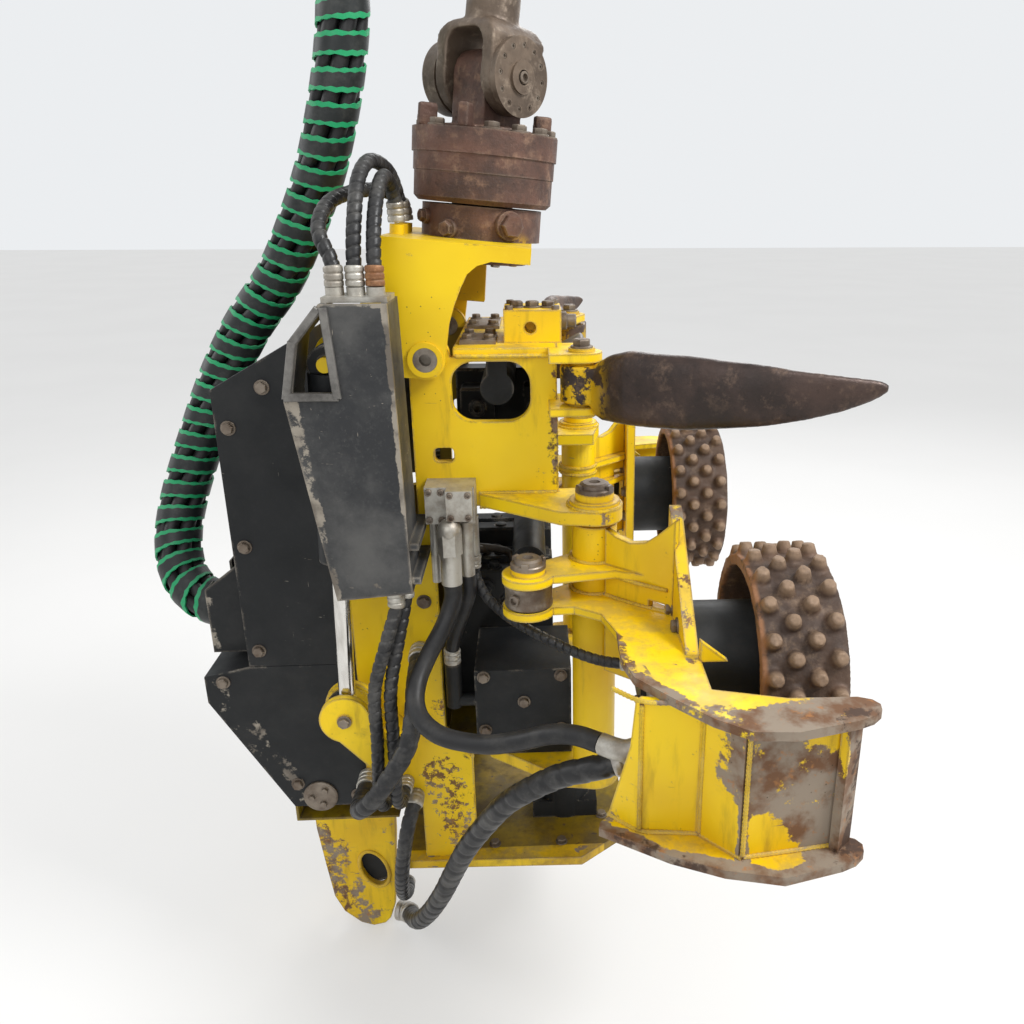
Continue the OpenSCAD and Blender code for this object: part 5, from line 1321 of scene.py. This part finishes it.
# Weld beads where plates meet, on the near side and mirrored: straight ones, and rings round the arms' pins
beads = {
    "radius": 0.0036, "ripple": 0.007, "rippleHigh": 0.16,
    "arm": [
        [(4, -608, 944), (42, -644, 944), (84, -651, 944), (127, -656, 944)],
        [(130, -657, 944), (156, -684, 944), (179, -711, 944)],
        [(182, -709, 944), (250, -700, 944), (318, -690, 944)],
        [(0, -604, 726), (42, -644, 726), (84, -651, 726), (127, -656, 726)],
        [(130, -657, 726), (156, -684, 726), (179, -711, 726)],
        [(182, -709, 726), (250, -700, 726), (318, -690, 726)],
        [(129, -658, 730), (129, -658, 840), (129, -658, 940)],
        [(181, -710, 730), (181, -710, 840), (181, -710, 940)],
        [(42, -645, 730), (42, -645, 840), (42, -645, 940)],
        [(118, -596, 958), (118, -500, 958), (118, -400, 958)],
        [(16, -322, 958), (60, -362, 958), (112, -396, 958)],
        [(14, -326, 999), (60, -366, 999), (112, -402, 999)],
    ],
    "head": [
        [(-200, -213, 1110), (-130, -213, 1110), (-62, -213, 1110)],
        [(-200, -213, 1084), (-130, -213, 1084), (-62, -213, 1084)],
        [(-235, -213, 586), (-235, -213, 572), (-235, -213, 560)],
        [(-62, -192, 1100), (-62, -192, 1180), (-62, -192, 1250)],
        [(-365, -213, 650), (-380, -213, 628), (-395, -213, 600)],
        [(-230, -213, 1352), (-150, -213, 1352), (-62, -213, 1352)],
    ],
    "ringAt": (0, -280),
    "rings": {"arm": [(41.5, 958), (41.5, 942), (41.5, 1015), (41.5, 999)], "head": [(45, 1110)]},
}


def beadRadius(distance, turn):
    return beads["radius"] * (1 + beads["rippleHigh"] * math.sin(math.tau * distance / beads["ripple"]))


def makeBeads():
    x, y = beads["ringAt"]
    for part in ("arm", "head"):
        routes = list(beads[part])
        for radius, z in beads["rings"][part]:
            angles = [math.tau * k / 16 for k in range(17)]
            routes.append([(x + radius * math.cos(angle), y + radius * math.sin(angle), z) for angle in angles])
        for side in (-1, 1):
            tubes = Tubes()
            for route in routes:
                tubes.add(*evenLine([(a, -b * side, c) for a, b, c in route], 0.0025, 12), beadRadius, 8)
            word = "near" if side < 0 else "far"
            piece = tubes.make(word + part.capitalize() + "Welds", "arm" if part == "arm" else "frame")
            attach(piece, "feed_arm_" + word if part == "arm" else "head")


makeBeads()
print("welds made")


# Points at even steps along the first part of a line
def resample(part, total, count):
    found, far, k = [], [0.0], 0
    for a, b in zip(part, part[1:]):
        far.append(far[-1] + (b - a).length)
    for i in range(count + 1):
        goal = min(total, far[-1]) * i / count
        while k < len(part) - 2 and far[k + 1] < goal:
            k += 1
        found.append(part[k].lerp(part[k + 1], min((goal - far[k]) / max(far[k + 1] - far[k], 1e-9), 1.0)))
    return found, [total * i / count for i in range(count + 1)]


# Crimped sleeves on the hoses' ends: their crimps as shares of length and radius, then end, length, finish and body
crimp = {"thick": 0.0028, "step": 3, "rings": 26, "sides": 20, "shares": [
    (0.0, 0.94), (0.05, 1.0), (0.26, 1.0), (0.30, 0.90), (0.34, 0.90), (0.38, 1.0), (0.60, 1.0), (0.64, 0.90),
    (0.68, 0.90), (0.72, 1.0), (0.93, 1.0), (1.0, 0.90)]}
sleeves = {
    "guardTopNear": [("start", 34, "zinc", "tilt_frame"), ("end", 30, "rustNut", "head")],
    "guardTopMiddle": [("start", 34, "zinc", "tilt_frame"), ("end", 30, "zinc", "head")],
    "guardTopFar": [("start", 34, "zinc", "tilt_frame"), ("end", 30, "zinc", "head")],
    "guardFootNear": [("start", 30, "zinc", "head"), ("end", 32, "zinc", "head")],
    "guardFootFar": [("start", 30, "zinc", "head"), ("end", 32, "zinc", "head")],
    "armLight": [("start", 26, "zinc", "head"), ("end", 26, "zinc", "feed_arm_near")],
    "armSaw": [("start", 44, "silver", "feed_arm_near"), ("end", 40, "silver", "head")],
    "cross": [("start", 40, "zinc", "head"), ("end", 40, "zinc", "head")],
    "tail": [("start", 34, "zinc", "head"), ("end", 30, "silver", "head")],
    "block": [("end", 30, "zinc", "head")],
}


def makeSleeves():
    groups = {}
    for name, ends in sleeves.items():
        spec = hoses[name]
        outer = spec["diameter"] / 2 + crimp["thick"]
        line, gone = evenLine(spec["route"], crimp["step"] / 1000)
        for end, length, finish, body in ends:
            count = max(4, round(length / crimp["step"]))
            part = line[:count + 1] if end == "start" else line[-count - 1:][::-1]
            total = 0.001 * length

            def radiusAt(distance, turn, outer=outer, total=total):
                return outer * along(crimp["shares"], min(distance / total, 1.0))
            group = groups.setdefault((finish, body), Tubes())
            group.add(*resample(part, total, crimp["rings"]), radiusAt, crimp["sides"])
    for (finish, body), group in groups.items():
        piece = group.make(finish + "Sleeves." + body, finish, smoothTo=50)
        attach(piece, body)


makeSleeves()
print("sleeves made")


# Plain pale floor and soft studio light
studio = {
    "floorTone": (0.76, 0.75, 0.73),
    "floorGlow": 0.38,
    "skyTone": (0.93, 0.95, 0.97),
    "skyStrength": 0.78,
    "backStrength": 0.9,
    "aim": (-200, 0, 900),
    "lamps": [  # name, place, size, power
        ("key", (2600, -1600, 4200), 1.4, 170),
        ("front", (-1600, -3600, 3200), 3.0, 34),
        ("side", (-3600, 600, 2600), 2.4, 30),
        ("back", (1200, 3600, 3400), 2.4, 60),
    ],
}


def makeStudio():
    bpy.ops.mesh.primitive_plane_add(size=60, location=(0, 0, groundZ))
    floor = bpy.context.object
    floor.name = "floor"
    s = Shade("paleFloor")
    tone = s.mix(s.span(s.noise(0.8, 4), 0.3, 0.7), studio["floorTone"], tuple(0.96 * c for c in studio["floorTone"]))
    setMaterial(floor, s.finish(tone, 0.85))
    glow = s.add("Emission", [(1, 1, 1), 1.0])
    rays = s.add("LightPath").outputs
    seen = s.most(rays["Is Camera Ray"], rays["Is Glossy Ray"], rays["Is Transmission Ray"])
    both = s.add("MixShader", [s.times(seen, studio["floorGlow"]), s.surface.outputs[0], glow.outputs[0]])
    s.tree.links.new(both.outputs[0], s.out.inputs[0])
    for name, place, size, power in studio["lamps"]:
        data = bpy.data.lights.new(name, "AREA")
        data.size = size
        data.energy = power
        lamp = bpy.data.objects.new(name, data)
        lamp.location = at(*place)
        lamp.rotation_euler = (at(*studio["aim"]) - at(*place)).to_track_quat("-Z", "Y").to_euler()
        bpy.context.scene.collection.objects.link(lamp)
    world = bpy.data.worlds.new("studio")
    bpy.context.scene.world = world
    world.use_nodes = True
    tree = world.node_tree
    tree.nodes.clear()
    out = tree.nodes.new("ShaderNodeOutputWorld")
    back = tree.nodes.new("ShaderNodeBackground")
    back.inputs[0].default_value = (*studio["skyTone"], 1)
    rays = tree.nodes.new("ShaderNodeLightPath")
    seen = rays.outputs["Is Camera Ray"]
    for other in ("Is Glossy Ray", "Is Transmission Ray"):
        either = tree.nodes.new("ShaderNodeMath")
        either.operation = "MAXIMUM"
        tree.links.new(seen, either.inputs[0])
        tree.links.new(rays.outputs[other], either.inputs[1])
        seen = either.outputs[0]
    level = tree.nodes.new("ShaderNodeMapRange")
    level.inputs[3].default_value = studio["skyStrength"]
    level.inputs[4].default_value = studio["backStrength"]
    tree.links.new(seen, level.inputs[0])
    tree.links.new(level.outputs[0], back.inputs[1])
    tree.links.new(back.outputs[0], out.inputs[0])
    bpy.context.scene.view_settings.view_transform = "Standard"


makeStudio()
print("studio made")
